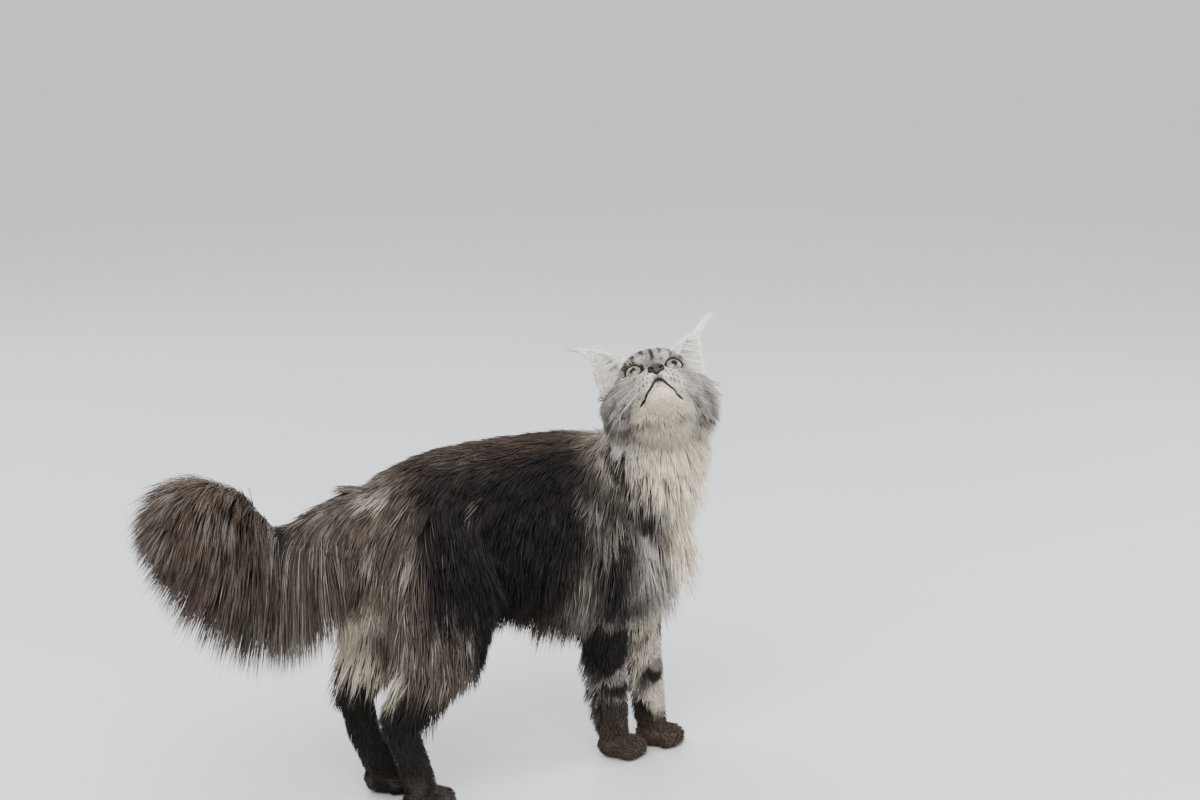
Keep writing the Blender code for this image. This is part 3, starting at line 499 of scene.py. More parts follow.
def comb(points, normals):
    """The lie, length, droop and width of the hair that grows at each point of the skin, how much each
    form has of that point, and how far it is ear."""
    found = [against(points, form) for form in FORMS]
    trunk, neck, _, fore_right, fore_left, hind_right, hind_left, tail = found
    local = in_head(points)
    folded = right_on_left(local)
    forward, lateral, above = folded.T
    ears = ease(0.10, 0.24, ear_rise(local))
    gaps = np.stack([gap for gap, *_ in found])
    gaps[ON_HEAD] -= ears * 0.09  # the ears stand off the skull and still belong to it
    weight = np.exp(-(gaps - gaps.min(axis=0)) / SOFTNESS)
    weight /= weight.sum(axis=0)
    ones = np.ones(len(points))
    rules = []

    # trunk: back along the spine and down the flanks, standing out at the breast
    _, share, out, _ = trunk
    up = out[:, 2]
    back = np.interp(up, (-1, -0.4, 0.3, 1), (0.35, 0.22, 0.55, 1.0))
    fall = np.interp(up, (-1, -0.4, 0.3, 0.8, 1), (1.0, 1.0, 1.0, 0.45, 0.05))
    front = ease(0.84, 0.98, share)
    back = blend(back, -0.15, front)
    lie = back[:, None] * BACKWARD + np.maximum(fall, front)[:, None] * DOWNWARD
    length = np.interp(up, (-1, -0.5, 0.2, 0.75, 1), (0.062, 0.066, 0.048, 0.033, 0.028))
    length = length * (1 + 0.45 * ease(0.0, 0.05, points[:, 0]) * ease(-0.1, -0.5, up))
    length = blend(length, 0.064, front)
    lift = blend(np.interp(up, (-1, 0, 1), (0.1, 0.14, 0.16)), 0.75, front)
    rules.append((lie, length, lift, blend(0.35, 1.0, front), 0.0012 * ones))

    # neck: a full ruff, long in front and shorter under the chin
    _, share, out, _ = neck
    breast = out @ BREASTWARD
    lie = DOWNWARD + 0.25 * BACKWARD * np.clip(-breast, 0, 1)[:, None]
    length = np.interp(breast, (-1, -0.3, 0.3, 1), (0.028, 0.036, 0.054, 0.066))
    length *= np.interp(share, (0.55, 1.0), (1.0, 0.60))
    lift = np.interp(breast, (-1, -0.3, 0.3, 1), (0.12, 0.30, 0.60, 0.80))
    rules.append((lie, length, lift, 0.8 * ones, 0.0011 * ones))

    # head: short and away from the nose, longer on cheeks and throat, and up the ears
    lie = unit(local - np.array((0.045, 0, -0.020)))
    lie[:, 2] += 0.25 * ease(0.0, 0.03, above)
    cheek = ease(0.022, 0.038, lateral) * ease(0.0, 0.026, -forward) * ease(0.016, -0.006, above)
    lie[:, 2] -= 0.35 * cheek
    throat = ease(-0.030, -0.042, above) * ease(0.0, 0.02, -forward)
    stations = (-0.034, -0.010, 0.005, 0.020, 0.050, 0.075)
    length = np.interp(-forward, stations, (0.0016, 0.0036, 0.0048, 0.0065, 0.011, 0.019))
    bridge = ease(0.010, 0.004, lateral) * ease(-0.012, 0.0, forward) * ease(-0.030, -0.018, above)
    length = blend(length, 0.0022, bridge)
    length = blend(length, 0.0135, cheek)
    length = blend(length, 0.013, throat)
    lift = 0.20 + 0.26 * cheek + 0.1 * throat
    length *= 1 - 0.65 * band(folded, LIP, 0.004, 0.6)
    width = np.interp(length, (0.002, 0.008, 0.026), (0.00038, 0.00060, 0.00095))
    toward_tip = np.array(EAR_TIP - (EAR_INNER_BASE + EAR_OUTER_BASE) / 2)
    tipward = np.tile(toward_tip, (len(points), 1))
    tipward[:, 1] *= np.sign(local[:, 1])
    lie = blend(lie, unit(tipward), ears)
    length = blend(length, 0.0034, ears)
    width = blend(width, 0.00045, ears)
    lift = blend(lift, 0.12, ears)
    rules.append((lie @ HEAD_TURN.T, length, lift, 0.12 * (1 - ears), width))

    # legs: down them, long behind, with breeches on the hind pair, and short on the toes
    for leg, hind in ((fore_right, False), (fore_left, False), (hind_right, True), (hind_left, True)):
        _, share, out, along = leg
        ahead = out @ FRONTWARD
        if hind:
            stations = (0, 0.22, 0.42, 0.55, 0.66, 0.74, 0.88, 1.0)
            fore = np.interp(share, stations, (0.036, 0.034, 0.026, 0.016, 0.010, 0.008, 0.007, 0.005))
            side = np.interp(share, stations, (0.044, 0.046, 0.060, 0.066, 0.050, 0.012, 0.008, 0.006))
            rear = np.interp(share, stations, (0.058, 0.068, 0.074, 0.070, 0.044, 0.015, 0.010, 0.008))
            slant = np.interp(share, (0, 0.45, 0.6, 1), (0.40, 0.22, 0.0, 0.0))
        else:
            stations = (0, 0.2, 0.42, 0.6, 0.85, 1.0)
            fore = np.interp(share, stations, (0.036, 0.026, 0.014, 0.009, 0.0065, 0.005))
            side = np.interp(share, stations, (0.036, 0.028, 0.016, 0.010, 0.0070, 0.005))
            rear = np.interp(share, stations, (0.048, 0.046, 0.036, 0.030, 0.022, 0.010))
            slant = np.interp(share, (0, 0.45, 1), (0.25, 0.15, 0.10))
        before = blend(side, fore, np.clip(ahead, 0, 1))
        behind = blend(side, rear, np.clip(-ahead, 0, 1))
        length = np.where(ahead > 0, before, behind)
        lie = along + slant[:, None] * BACKWARD + 0.3 * DOWNWARD
        heading = HIND_PAW_AHEAD if hind else PAW_AHEAD
        foot = ease(0.034, 0.022, points[:, 2])
        lie = blend(lie, heading + 0.35 * DOWNWARD, foot)
        length = blend(length, 0.0038, foot)
        width = np.interp(length, (0.005, 0.012, 0.03, 0.06), (0.00075, 0.0009, 0.0011, 0.0013))
        lift = np.interp(length, (0.005, 0.02, 0.06), (0.10, 0.16, 0.20))
        if not hind:
            lift += 0.45 * np.clip(-ahead, 0, 1) * ease(0.45, 0.6, share) * (1 - foot)
        rules.append((lie, length, lift, np.interp(length, (0.01, 0.05), (0.1, 0.7)), width))

    # tail: a plume hanging from its root and bushing out along it
    _, share, out, along = tail
    length = np.interp(share, (0, 0.12, 0.40, 0.70, 1.0), (0.080, 0.112, 0.116, 0.092, 0.060))
    length *= 1 - 0.14 * np.clip(-out[:, 1], 0, 1) * ease(0.4, 0.7, share)
    lift = np.interp(share, (0, 0.2, 0.5, 1.0), (0.40, 0.50, 0.66, 0.50))
    droop = np.interp(share, (0, 0.5, 1.0), (1.8, 1.8, 1.5))
    top = ease(-0.1, 0.5, out[:, 2]) * ease(0.55, 0.35, share)
    length *= 1 - 0.45 * top
    lift *= 1 - 0.65 * top
    hanging = (DOWNWARD + 0.30 * FRONTWARD) * ones[:, None]
    lie = blend(hanging, along, np.maximum(ease(0.10, 0.55, share), top))
    rules.append((lie, length, lift, droop, 0.0009 * ones))

    lie = sum(w[:, None] * unit(rule[0]) for w, rule in zip(weight, rules))
    numbers = (sum(w * rule[k] for w, rule in zip(weight, rules)) for k in range(1, 5))
    length, lift, droop, width = numbers
    into = np.minimum(np.einsum("ij,ij->i", lie, normals), 0)
    start = unit(lie - into[:, None] * normals) + lift[:, None] * normals
    return unit(start), length, droop, width, weight, ears


# Markings and painted shade
# A blotched silver tabby: nearly black saddle, flanks and feet over a pale ground, grey swirls on
# neck and shoulder, cream ruff and chin, barred legs, dark mask lines and a grey and brown plume.
# Shade is painted in as well: between the tiers of the ruff, under the nose at the lip, and along the
# crease under the jaw.

JET = np.array((0.016, 0.014, 0.015))
SOOT = np.array((0.034, 0.029, 0.028))
BROWN = np.array((0.085, 0.062, 0.048))
TAUPE = np.array((0.150, 0.125, 0.105))
SILVER = np.array((0.36, 0.34, 0.325))
PALE = np.array((0.56, 0.53, 0.50))
CREAM = np.array((0.74, 0.68, 0.57))
WHITE = np.array((0.84, 0.82, 0.79))
PINK = np.array((0.74, 0.58, 0.55))

# Stripes of the cat's right side, each repeated on its left.
PALE_LOCK = (
    (0.030, -0.048, 0.300),
    (0.040, -0.047, 0.262),
    (0.048, -0.044, 0.225),
    (0.050, -0.042, 0.190),
)
SWIRL = (
    (0.060, -0.034, 0.330),
    (0.067, -0.040, 0.314),
    (0.072, -0.048, 0.294),
    (0.090, -0.054, 0.264),
    (0.120, -0.048, 0.238),
    (0.150, -0.040, 0.222),
)
LOWER_SWIRL = (
    (0.058, -0.048, 0.292),
    (0.082, -0.054, 0.282),
    (0.112, -0.058, 0.266),
    (0.140, -0.060, 0.270),
)
NECK_RING = (
    (0.085, -0.052, 0.324),
    (0.098, -0.062, 0.318),
    (0.094, -0.058, 0.306),
    (0.082, -0.050, 0.308),
)
CHEST_BAR = ((0.136, -0.058, 0.282), (0.150, -0.052, 0.272), (0.174, -0.028, 0.262))

# In the head's frame, the crease under the jaw where chin meets ruff, darkened with painted shade.
JAW_CREASE_SHADE = (
    (-0.015, 0, -0.051),
    (-0.0186, 0.0177, -0.0485),
    (-0.034, 0.034, -0.040),
    (-0.058, 0.047, -0.021),
)


def ripple(points, size, seed):
    """Smooth irregular waves about as long as size, from -1 to 1."""
    rng = np.random.default_rng(seed)
    total = np.zeros(len(points))
    for _ in range(6):
        way = rng.normal(size=3)
        way *= rng.uniform(0.7, 1.6) * math.tau / size / np.linalg.norm(way)
        total += np.sin(points @ way + rng.uniform(0, math.tau))
    return total / 3.2


def blot(points, centre, radii, edge=0.45):
    """1 in a rounded patch, fading out over its edge."""
    far = np.linalg.norm((points - np.array(centre)) / np.array(radii), axis=1)
    return ease(1 + edge, 1 - edge, far)


def eye_opening_share(local, side):
    """How far out of an eye's opening points of the head lie: 1 on its rim, seen from the ball's
    middle. Then which points are above that middle, and which are on the nose's side of it."""
    slant = Matrix.Rotation(side * EYE_SLANT, 3, "X")
    turn = np.array(Matrix.Rotation(side * EYE_TURN, 3, "Z") @ slant)
    off = (local - np.array(eye_centre(side))) @ turn
    across = np.arctan2(off[:, 1], off[:, 0]) / math.asin(EYE_OPENING[0] / 2 / EYE_RADIUS)
    tall = np.arctan2(off[:, 2], off[:, 0]) / math.asin(EYE_OPENING[1] / 2 / EYE_RADIUS)
    far = np.linalg.norm(off, axis=1)
    share = np.where((off[:, 0] > 0) & (far < EYE_RADIUS * 1.5), np.hypot(across, tall), 9)
    return share, off[:, 2] > 0, off[:, 1] * side < 0


def markings_and_shade(points, normals, weight, ears):
    """The colour of the hair near its root and at its tip, at each point of the skin, painted shade
    included.
    """
    x, y, z = points.T
    side = np.abs(y)
    wavy = points + 0.006 * np.column_stack([ripple(points, 0.045, s) for s in (1, 2, 3)])
    fine = points + 0.0025 * np.column_stack([ripple(points, 0.014, s) for s in (4, 5, 6)])
    mirrored = np.column_stack([wavy[:, 0], -np.abs(wavy[:, 1]), wavy[:, 2]])
    root = np.tile(SOOT, (len(points), 1))
    tip = np.tile(JET, (len(points), 1))

    def paint(mask, near, far):
        root[:] = blend(root, near, mask)
        tip[:] = blend(tip, far, mask)

    trunk, neck, head, fore_right, fore_left, hind_right, hind_left, tail = weight
    fore = fore_right + fore_left
    hind = hind_right + hind_left
    up = normals[:, 2]

    # saddle: brown agouti tips along the spine, greyer over the rump, faint pale flecks on the flank
    spine = trunk * ease(0.62, 0.95, up)
    paint(spine * 0.75, SOOT, BROWN)
    grizzle = ease(0.35, 0.8, 0.5 + 0.5 * ripple(points * np.array((0.35, 1.0, 1.0)), 0.006, 14))
    paint(trunk * ease(0.35, 0.8, up) * ease(0.03, -0.10, x) * grizzle * 0.55, SOOT, TAUPE * 1.3)
    belly = trunk * ease(0.225, 0.205, z)
    paint(belly * 0.7, SOOT, BROWN)
    tufts = ease(0.35, 0.65, 0.5 + 0.5 * ripple(points * np.array((1.0, 1.0, 0.3)), 0.010, 24))
    paint(trunk * ease(0.225, 0.202, z) * ease(0.028, 0.044, x) * tufts, SILVER, CREAM * 0.9)
    for path, width in (
        (((0.000, -0.040, 0.322), (0.000, -0.048, 0.297), (-0.002, -0.056, 0.266)), 0.0030),
        (((0.024, -0.044, 0.308), (0.028, -0.049, 0.284), (0.026, -0.054, 0.262)), 0.0034),
        (((-0.093, -0.057, 0.296), (-0.095, -0.058, 0.282)), 0.0050),
        (((-0.047, -0.053, 0.277), (-0.049, -0.054, 0.262)), 0.0045),
    ):
        paint(band(mirrored, path, width) * trunk * 0.5, TAUPE, SILVER)
    lock = band(mirrored, PALE_LOCK, 0.0075)
    paint(lock * ease(0.305, 0.275, z) * 0.6, TAUPE, SILVER)
    paint(lock * ease(0.250, 0.225, z) * tufts, SILVER, CREAM * 0.95)

    # chest and ruff: cream over grey in faint brown tiers, partly the ruff's own bands and partly
    # painted shade between its layered tufts, with a dark swirl down each side
    paint(neck, SILVER, PALE)
    breast = np.clip(neck + trunk * ease(0.10, 0.13, x), 0, 1)
    bib = breast * ease(-0.15, 0.40, normals @ BREASTWARD)
    paint(bib, CREAM * 0.80, CREAM * 1.10)
    # Faint dark horizontal bands: the brown-grey tiers of the ruff together with painted shade between
    # its layers.
    tier_bands_and_shade = 0.5 + 0.5 * np.sin(z * math.tau / 0.026 + 2.2 * ripple(points, 0.07, 15))
    paint(breast * ease(0.66, 0.95, tier_bands_and_shade) * 0.32, TAUPE, TAUPE * 2.0)
    zone = fore * ease(0.155, 0.195, z) + trunk * ease(0.045, 0.075, x) * ease(0.32, 0.285, z)
    zone = np.clip(zone, 0, 1) * (1 - bib) * ease(0.064, 0.090, x)
    mottled = 0.5 + 0.5 * ripple(points * np.array((1.0, 1.0, 0.6)), 0.020, 25)
    paint(zone, TAUPE * 1.2, SILVER)
    paint(zone * ease(0.50, 0.80, mottled), SILVER, PALE * 0.9)
    paint(neck * ease(0.068, 0.056, x), JET, SOOT)
    swirl = band(mirrored, SWIRL, 0.0092)
    paint(swirl * (1 - hind), JET, SOOT)
    paint(band(mirrored, LOWER_SWIRL, 0.0066, 0.7) * 0.9, SOOT, TAUPE * 0.6)
    paint(band(mirrored, NECK_RING, 0.0045) * 0.9, SOOT, TAUPE * 0.5)
    paint(band(mirrored, CHEST_BAR, 0.004) * 0.55, TAUPE, TAUPE * 1.6)

    # shoulder: black broken by silver streaks below the swirl
    shoulder = fore * ease(0.13, 0.19, z) + trunk * ease(0.05, 0.08, x) * ease(0.29, 0.25, z)
    rearward = np.clip(ease(0.092, 0.068, x) + 0.75 * fore * ease(0.19, 0.16, z), 0, 1)
    shoulder = np.clip(shoulder, 0, 1) * (ease(0.020, 0.034, side) * (1 - swirl) * rearward)
    paint(shoulder * 0.8, JET, SOOT)
    streaky = 0.5 + 0.5 * ripple(points * np.array((1.0, 1.0, 0.45)), 0.024, 11)
    paint(shoulder * ease(0.50, 0.80, streaky) * 0.7, TAUPE, SILVER)

    # forelegs: black with wavy pale bars, blotched cream inside, brown-grey toes
    inner = ease(0.15, -0.35, normals[:, 1] * np.where(fore_left > fore_right, 1, -1))
    warp = z + 0.010 * ripple(points, 0.040, 12)
    for height, thick, strength in ((0.152, 0.006, 0.6), (0.097, 0.008, 0.9), (0.066, 0.005, 0.6)):
        paint(fore * ease(1.5 * thick, 0.5 * thick, np.abs(warp - height)) * strength, TAUPE, SILVER)
    blotchy = 0.5 + 0.5 * ripple(points, 0.034, 16)
    paint(fore * ease(0.18, 0.15, z) * inner * ease(0.34, 0.56, blotchy) * 0.9, SILVER, CREAM * 0.9)
    paint(fore * ease(0.085, 0.06, z) * (1 - inner) * 0.5, SOOT, TAUPE)
    paint(fore_left * blot(wavy, (0.128, 0.015, 0.133), (0.02, 0.02, 0.012)), SILVER, CREAM)
    paint(fore_left * blot(wavy, (0.149, 0.010, 0.156), (0.02, 0.02, 0.012)), SILVER, CREAM)

    # haunch: black thigh and knee, streaked grey over the tail root, cream britches, brown skirt
    haunch = hind + trunk * ease(-0.150, -0.175, x)
    streaks = 0.5 + 0.5 * ripple(points * np.array((1.0, 1.0, 0.3)), 0.014, 17)
    behind = ease(-0.138, -0.160, x)
    paint(haunch * behind * ease(0.12, 0.14, z), SOOT, TAUPE * 1.2)
    paint(haunch * behind * ease(0.56, 0.82, streaks) * ease(0.12, 0.14, z), TAUPE, SILVER * 0.85)
    britches = haunch * ease(-0.150, -0.172, x) * ease(0.240, 0.210, z) * ease(0.108, 0.124, z)
    inward = ease(0.1, 0.5, -normals[:, 1] * np.sign(y))
    rear = ease(0.60, 0.90, -normals[:, 0]) * np.maximum(ease(-0.030, -0.015, y), ease(0.170, 0.150, z))
    paint(britches * np.maximum(rear, inward), PALE, CREAM)
    skirt = hind * ease(0.205, 0.165, z) * ease(0.118, 0.135, z) * ease(-0.095, -0.120, x)
    skirt = skirt * (1 - 0.8 * ease(-0.150, -0.172, x))
    paint(skirt * 0.9, SOOT, TAUPE * 1.1)
    paint(skirt * ease(0.5, 0.8, streaks) * 0.8, TAUPE, SILVER)
    for path, width in (
        (((-0.124, -0.072, 0.262), (-0.136, -0.072, 0.246)), 0.0050),
        (((-0.114, -0.070, 0.286), (-0.122, -0.071, 0.270)), 0.0040),
        (((-0.136, -0.072, 0.205), (-0.122, -0.072, 0.186), (-0.105, -0.071, 0.160)), 0.0030),
    ):
        paint(band(mirrored, path, width) * hind * 0.6, TAUPE, SILVER)
    feet = (hind + fore) * ease(0.045, 0.028, z)
    paint(feet, SOOT, BROWN * 1.1)
    paint(hind * ease(0.110, 0.095, z), JET, SOOT)
    paint(feet * ease(0.5, 0.8, blotchy) * 0.5, SOOT, TAUPE)

    # tail: silver, grey and brown-black locks side by side with warm dark ends, white lock on its root
    lane = points * np.array((1.0, 1.0, 0.35))
    paint(tail, TAUPE, BROWN * 1.5)
    paint(tail * ease(-0.325, -0.285, x), SOOT, TAUPE * 0.9)
    silver = np.interp(x, (-0.36, -0.32, -0.25, -0.20), (0.95, 0.6, 0.7, 0.8))
    paint(tail * silver * ease(0.45, 0.70, 0.5 + 0.5 * ripple(lane, 0.010, 13)), SILVER, SILVER * 0.62)
    black = np.interp(x, (-0.37, -0.34, -0.28, -0.20), (0.35, 0.75, 1.0, 0.85))
    paint(tail * black * ease(0.50, 0.72, 0.5 + 0.5 * ripple(lane, 0.009, 18)), JET, BROWN * 0.4)
    white_lock = blot(points, (-0.182, -0.020, 0.308), (0.016, 0.010, 0.010)) * ease(0.2, 0.6, streaks)
    paint(white_lock * 0.75, SILVER, PALE * 1.1)

    # head, in its own frame: silver with dark lines, white muzzle, cream chin and throat, with painted
    # shade under the nose and along the crease under the jaw
    local = in_head(points)
    _, beside, above = right_on_left(local).T
    rise = ear_rise(local)
    h = in_head(fine)
    folded = right_on_left(h)
    hx, lateral, hz = folded.T
    grown = np.clip(head, 0, 1)
    rest_root, rest_tip = root.copy(), tip.copy()
    paint(np.ones(len(x)), SILVER * 0.90, PALE * 0.98)
    mist = 0.5 + 0.5 * ripple(h, 0.016, 19)
    paint(ease(0.45, 0.85, mist) * 0.6, TAUPE * 1.3, SILVER)
    crown = ease(0.005, 0.010, hz) * ease(0.012, 0.006, hx) * ease(0.034, 0.028, lateral)
    phase = local[:, 1] * math.tau / 0.0088 + math.pi / 2 + 0.6 * ripple(local, 0.03, 20)
    stripes = 0.5 + 0.5 * np.sin(phase)
    paint(crown * ease(0.50, 0.72, stripes) * 0.92, SOOT, TAUPE * 0.5)
    for path, width in (
        (((-0.008, 0.031, -0.002), (-0.026, 0.043, -0.006), (-0.050, 0.050, -0.010)), 0.0042),
        (((-0.006, 0.032, -0.014), (-0.026, 0.044, -0.022), (-0.050, 0.046, -0.026)), 0.0036),
        (((-0.012, 0.034, -0.030), (-0.030, 0.044, -0.034)), 0.0026),
    ):
        paint(band(folded, path, width, 0.7) * 0.9, SOOT, TAUPE * 1.2)
    paint(blot(folded, (-0.002, 0.021, -0.014), (0.010, 0.012, 0.006)) * 0.5, TAUPE, SILVER * 0.8)
    paint(blot(folded, (0.004, 0.0125, 0.0125), (0.008, 0.0055, 0.0050)) * 0.8, PALE, WHITE * 0.95)
    paint(blot(folded, (0.016, 0.011, -0.031), (0.020, 0.017, 0.014)), PALE * 1.1, WHITE * 1.03)
    # painted shade in the recess under the nose, at the apex of the lip line
    paint(blot(folded, (0.0265, 0.003, -0.0320), (0.006, 0.0045, 0.004)) * 0.7, TAUPE, TAUPE)
    paint(ease(-0.036, -0.043, hz), CREAM * 0.85, CREAM * 1.08)
    reach = ease(0.006, 0.009, beside) * ease(0.026, 0.019, beside) * ease(0.0, 0.008, local[:, 0])
    for row, height in enumerate((-0.0235, -0.0275, -0.0315, -0.0355)):
        dots = 0.5 + 0.5 * np.cos(math.tau * (beside - 0.001 * row) / 0.0042)
        line = ease(0.0015, 0.0006, np.abs(above + 0.12 * (beside - 0.006) - height))
        paint(line * ease(0.15, 0.6, dots) * reach * 0.9, TAUPE * 0.7, TAUPE * 0.9)
    paint(blot(h, (0.008, 0, -0.006), (0.020, 0.0055, 0.012)) * 0.7, SILVER * 0.6, SILVER * 0.8)
    for eye in (1, -1):
        oval, upper, inner_corner = eye_opening_share(h, eye)
        paint(ease(1.75, 1.45, oval) * ~upper, PALE, WHITE * 0.9)
        paint(ease(1.20, 1.10, oval - 0.12 * upper * ~inner_corner + 0.20 * inner_corner), JET, JET)
    off_skull = (local - np.array((-0.042, 0, -0.001))) / np.array((0.043, 0.040, 0.038))
    base = ease(1.05, 1.13, np.linalg.norm(off_skull, axis=1)) * ease(-0.10, 0.05, rise)
    ears = np.maximum(ears, base * ease(-0.022, -0.030, hx) * grown)
    paint(ears, TAUPE, SILVER)
    cup = ears * ease(-0.25, 0.05, normals @ INSIDE_EAR)
    paint(cup, blend(WHITE, PINK, ease(0.45, 0.15, rise)), WHITE * 1.06)
    paint(ears * ease(0.75, 0.92, rise), WHITE, WHITE * 1.06)
    root[:] = blend(rest_root, root, grown)
    tip[:] = blend(rest_tip, tip, grown)
    # painted shade along the crease under the jaw, faint under the chin and darker toward the sides
    strength = np.interp(lateral, (0.0, 0.012, 0.03), (0.15, 0.5, 0.95))
    paint(band(folded, JAW_CREASE_SHADE, 0.0036, 0.7) * strength, TAUPE * 0.6, TAUPE * 0.8)
    return root, tip


class Wire:
    """A socket that adds its own Math nodes when it is used in an expression."""

    def __init__(self, tree, socket):
        self.tree = tree
        self.socket = socket

    def maths(self, operation, first, second):
        return node(self.tree, "ShaderNodeMath", {"operation": operation}, **{"0": first, "1": second})

    def __add__(self, other):
        return self.maths("ADD", self, other)

    def __radd__(self, other):
        return self.maths("ADD", other, self)

    def __sub__(self, other):
        return self.maths("SUBTRACT", self, other)

    def __rsub__(self, other):
        return self.maths("SUBTRACT", other, self)

    def __mul__(self, other):
        return self.maths("MULTIPLY", self, other)

    def __rmul__(self, other):
        return self.maths("MULTIPLY", other, self)

    def __truediv__(self, other):
        return self.maths("DIVIDE", self, other)

    def __pow__(self, other):
        return self.maths("POWER", self, other)


def node(tree, kind, settings=None, output=0, **inputs):
    """Adds a node: its settings first, then the values or links of its sockets by name or number."""
    made = tree.nodes.new(kind)
    for key, value in (settings or {}).items():
        if key == "stops":
            ramp = made.color_ramp
            while len(ramp.elements) < len(value):
                ramp.elements.new(0.5)
            for element, (place, colour) in zip(ramp.elements, value):
                element.position = place
                element.color = (*colour, 1)
        else:
            setattr(made, key, value)
    for name, value in inputs.items():
        socket = made.inputs[int(name) if name.isdigit() else name.replace("_", " ")]
        if isinstance(value, Wire):
            tree.links.new(value.socket, socket)
        elif getattr(socket, "type", "") == "RGBA" and len(value) == 3:
            socket.default_value = (*value, 1)
        else:
            socket.default_value = value
    return Wire(tree, made.outputs[output] if made.outputs else None)


def mixed(tree, share, first, second, blend_type="MIX"):
    """Two colours mixed by a share."""
    settings = {"data_type": "RGBA", "blend_type": blend_type, "clamp_factor": True}
    return node(tree, "ShaderNodeMix", settings, 2, **{"0": share, "6": first, "7": second})


def cloudy(tree, scale, detail):
    """Soft noise that stays with the piece."""
    place = node(tree, "ShaderNodeTexCoord", output=3)
    return node(tree, "ShaderNodeTexNoise", Vector=place, Scale=scale, Detail=detail)


def finish_tree(name):
    """A new material with nothing in it yet."""
    material = bpy.data.materials.new(name)
    material.use_nodes = True
    tree = material.node_tree
    tree.nodes.clear()
    return material, tree


def close_tree(tree, **inputs):
    """The shader that all the finish feeds, and its output."""
    shader = node(tree, "ShaderNodeBsdfPrincipled", **inputs)
    node(tree, "ShaderNodeOutputMaterial", Surface=shader)


def hair_finish(name, matt):
    """Silky guard hair: each strand a little lighter or browner than the next, fine lines along it."""
    material, tree = finish_tree(name)
    coat = node(tree, "ShaderNodeAttribute", {"attribute_name": "coat"})
    strand = node(tree, "ShaderNodeAttribute", {"attribute_name": "strand"}, 2)
    cloud = cloudy(tree, 60.0, 3.0)
    thread = cloudy(tree, 900.0, 2.0)
    bright = 0.72 + 0.36 * strand + 0.22 * cloud
    grey = node(tree, "ShaderNodeCombineColor", Red=bright, Green=bright * 0.99, Blue=bright * 0.97)
    colour = mixed(tree, 1.0, coat, grey, "MULTIPLY")
    bump = node(tree, "ShaderNodeBump", Strength=0.25, Distance=0.0004, Height=thread)
    rough = matt + 0.16 * thread
    close_tree(tree, Base_Color=colour, Roughness=rough, Normal=bump, Specular_IOR_Level=0.26)
    return material


# Skin as it is worn
# The hide laid over all the flesh of the solids, with the coat's own markings and painted shade as an
# under coat. Its flattened map, OFBake, is also where every strand of the coat takes its place from.

skin_piece = piece_of("skin", skin_mesh)
skin_mesh.shade_smooth()
bpy.context.view_layer.objects.active = skin_piece
skin_piece.select_set(True)
skin_mesh.uv_layers.new(name="OFBake")
bpy.ops.object.mode_set(mode="EDIT")
bpy.ops.mesh.select_all(action="SELECT")
bpy.ops.uv.smart_project(angle_limit=math.radians(66), island_margin=0.002)
bpy.ops.object.mode_set(mode="OBJECT")
skin_piece.select_set(False)


def read(items, key, wide, kind=np.float32):
    """Something of a mesh's corners or faces as rows of numbers."""
    values = np.empty(len(items) * wide, dtype=kind)
    items.foreach_get(key, values)
    return values.reshape(-1, wide)


spots = read(skin_mesh.vertices, "co", 3).astype(float) - np.array(STAND)
facing = read(skin_mesh.vertices, "normal", 3).astype(float)
lies, lengths, droops, widths, kin, eared = comb(spots, facing)
roots_colour, tips_colour = markings_and_shade(spots, facing, kin, eared)


def set_colour(mesh, name, values):
    """Keeps a colour at each corner, for the finish to read."""
    layer = mesh.attributes.new(name, "FLOAT_COLOR", "POINT")
    opaque = np.column_stack([values, np.ones(len(values))])
    layer.data.foreach_set("color", opaque.astype(np.float32).ravel())


def set_number(mesh, name, values):
    """Keeps a number at each corner, for the finish to read."""
    layer = mesh.attributes.new(name, "FLOAT", "POINT")
    layer.data.foreach_set("value", np.asarray(values, dtype=np.float32))


set_colour(skin_mesh, "coat", blend(roots_colour, tips_colour, 0.45 * np.ones(len(spots))))
set_number(skin_mesh, "strand", 0.35 + 0.15 * ripple(spots, 0.01, 21))
skin_mesh.materials.append(hair_finish("under coat", 0.62))
FLESH = [name for name in frame["nodes"] if not name.startswith("eye")]
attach(skin_piece, "root")
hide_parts(*FLESH)


# Coat
# Tens of thousands of tapered three-sided strands, rooted in the skin. Locks are combed first along
# the lie, bent by their weight and kept off the skin. Strands follow the locks nearest to them.

skin_mesh.calc_loop_triangles()
corners = read(skin_mesh.loop_triangles, "vertices", 3, np.int32)
loops = read(skin_mesh.loop_triangles, "loops", 3, np.int32)
uv = read(skin_mesh.uv_layers["OFBake"].uv, "vector", 2).astype(float)
first_edge = spots[corners[:, 1]] - spots[corners[:, 0]]
last_edge = spots[corners[:, 2]] - spots[corners[:, 0]]
areas = np.linalg.norm(np.cross(first_edge, last_edge), axis=1) / 2
skin_tree = BVHTree.FromPolygons([Vector(s) for s in spots], [list(map(int, c)) for c in corners])


def scatter(total, wanted, seed):
    """Roots spread over the skin by area and by how many each place wants: the face of each, its
    shares of that face's corners, and what carries to the roots anything that the corners hold."""
    rng = np.random.default_rng(seed)
    odds = areas * wanted[corners].mean(axis=1)
    chosen = rng.choice(len(odds), size=total, p=odds / odds.sum())
    a, b = rng.random((2, total))
    over = a + b > 1
    a[over], b[over] = 1 - a[over], 1 - b[over]
    shares = np.column_stack([1 - a - b, a, b])

    def carried(values):
        picked = values[corners[chosen]]
        return (picked * (shares[:, :, None] if picked.ndim == 3 else shares)).sum(axis=1)

    return chosen, shares, carried


STEPS = 7  # points on the path of each lock and strand
LYING = 0.0006  # how far above the skin a lock lies at least, with more toward its tip
OFF_FLOOR = 0.0012


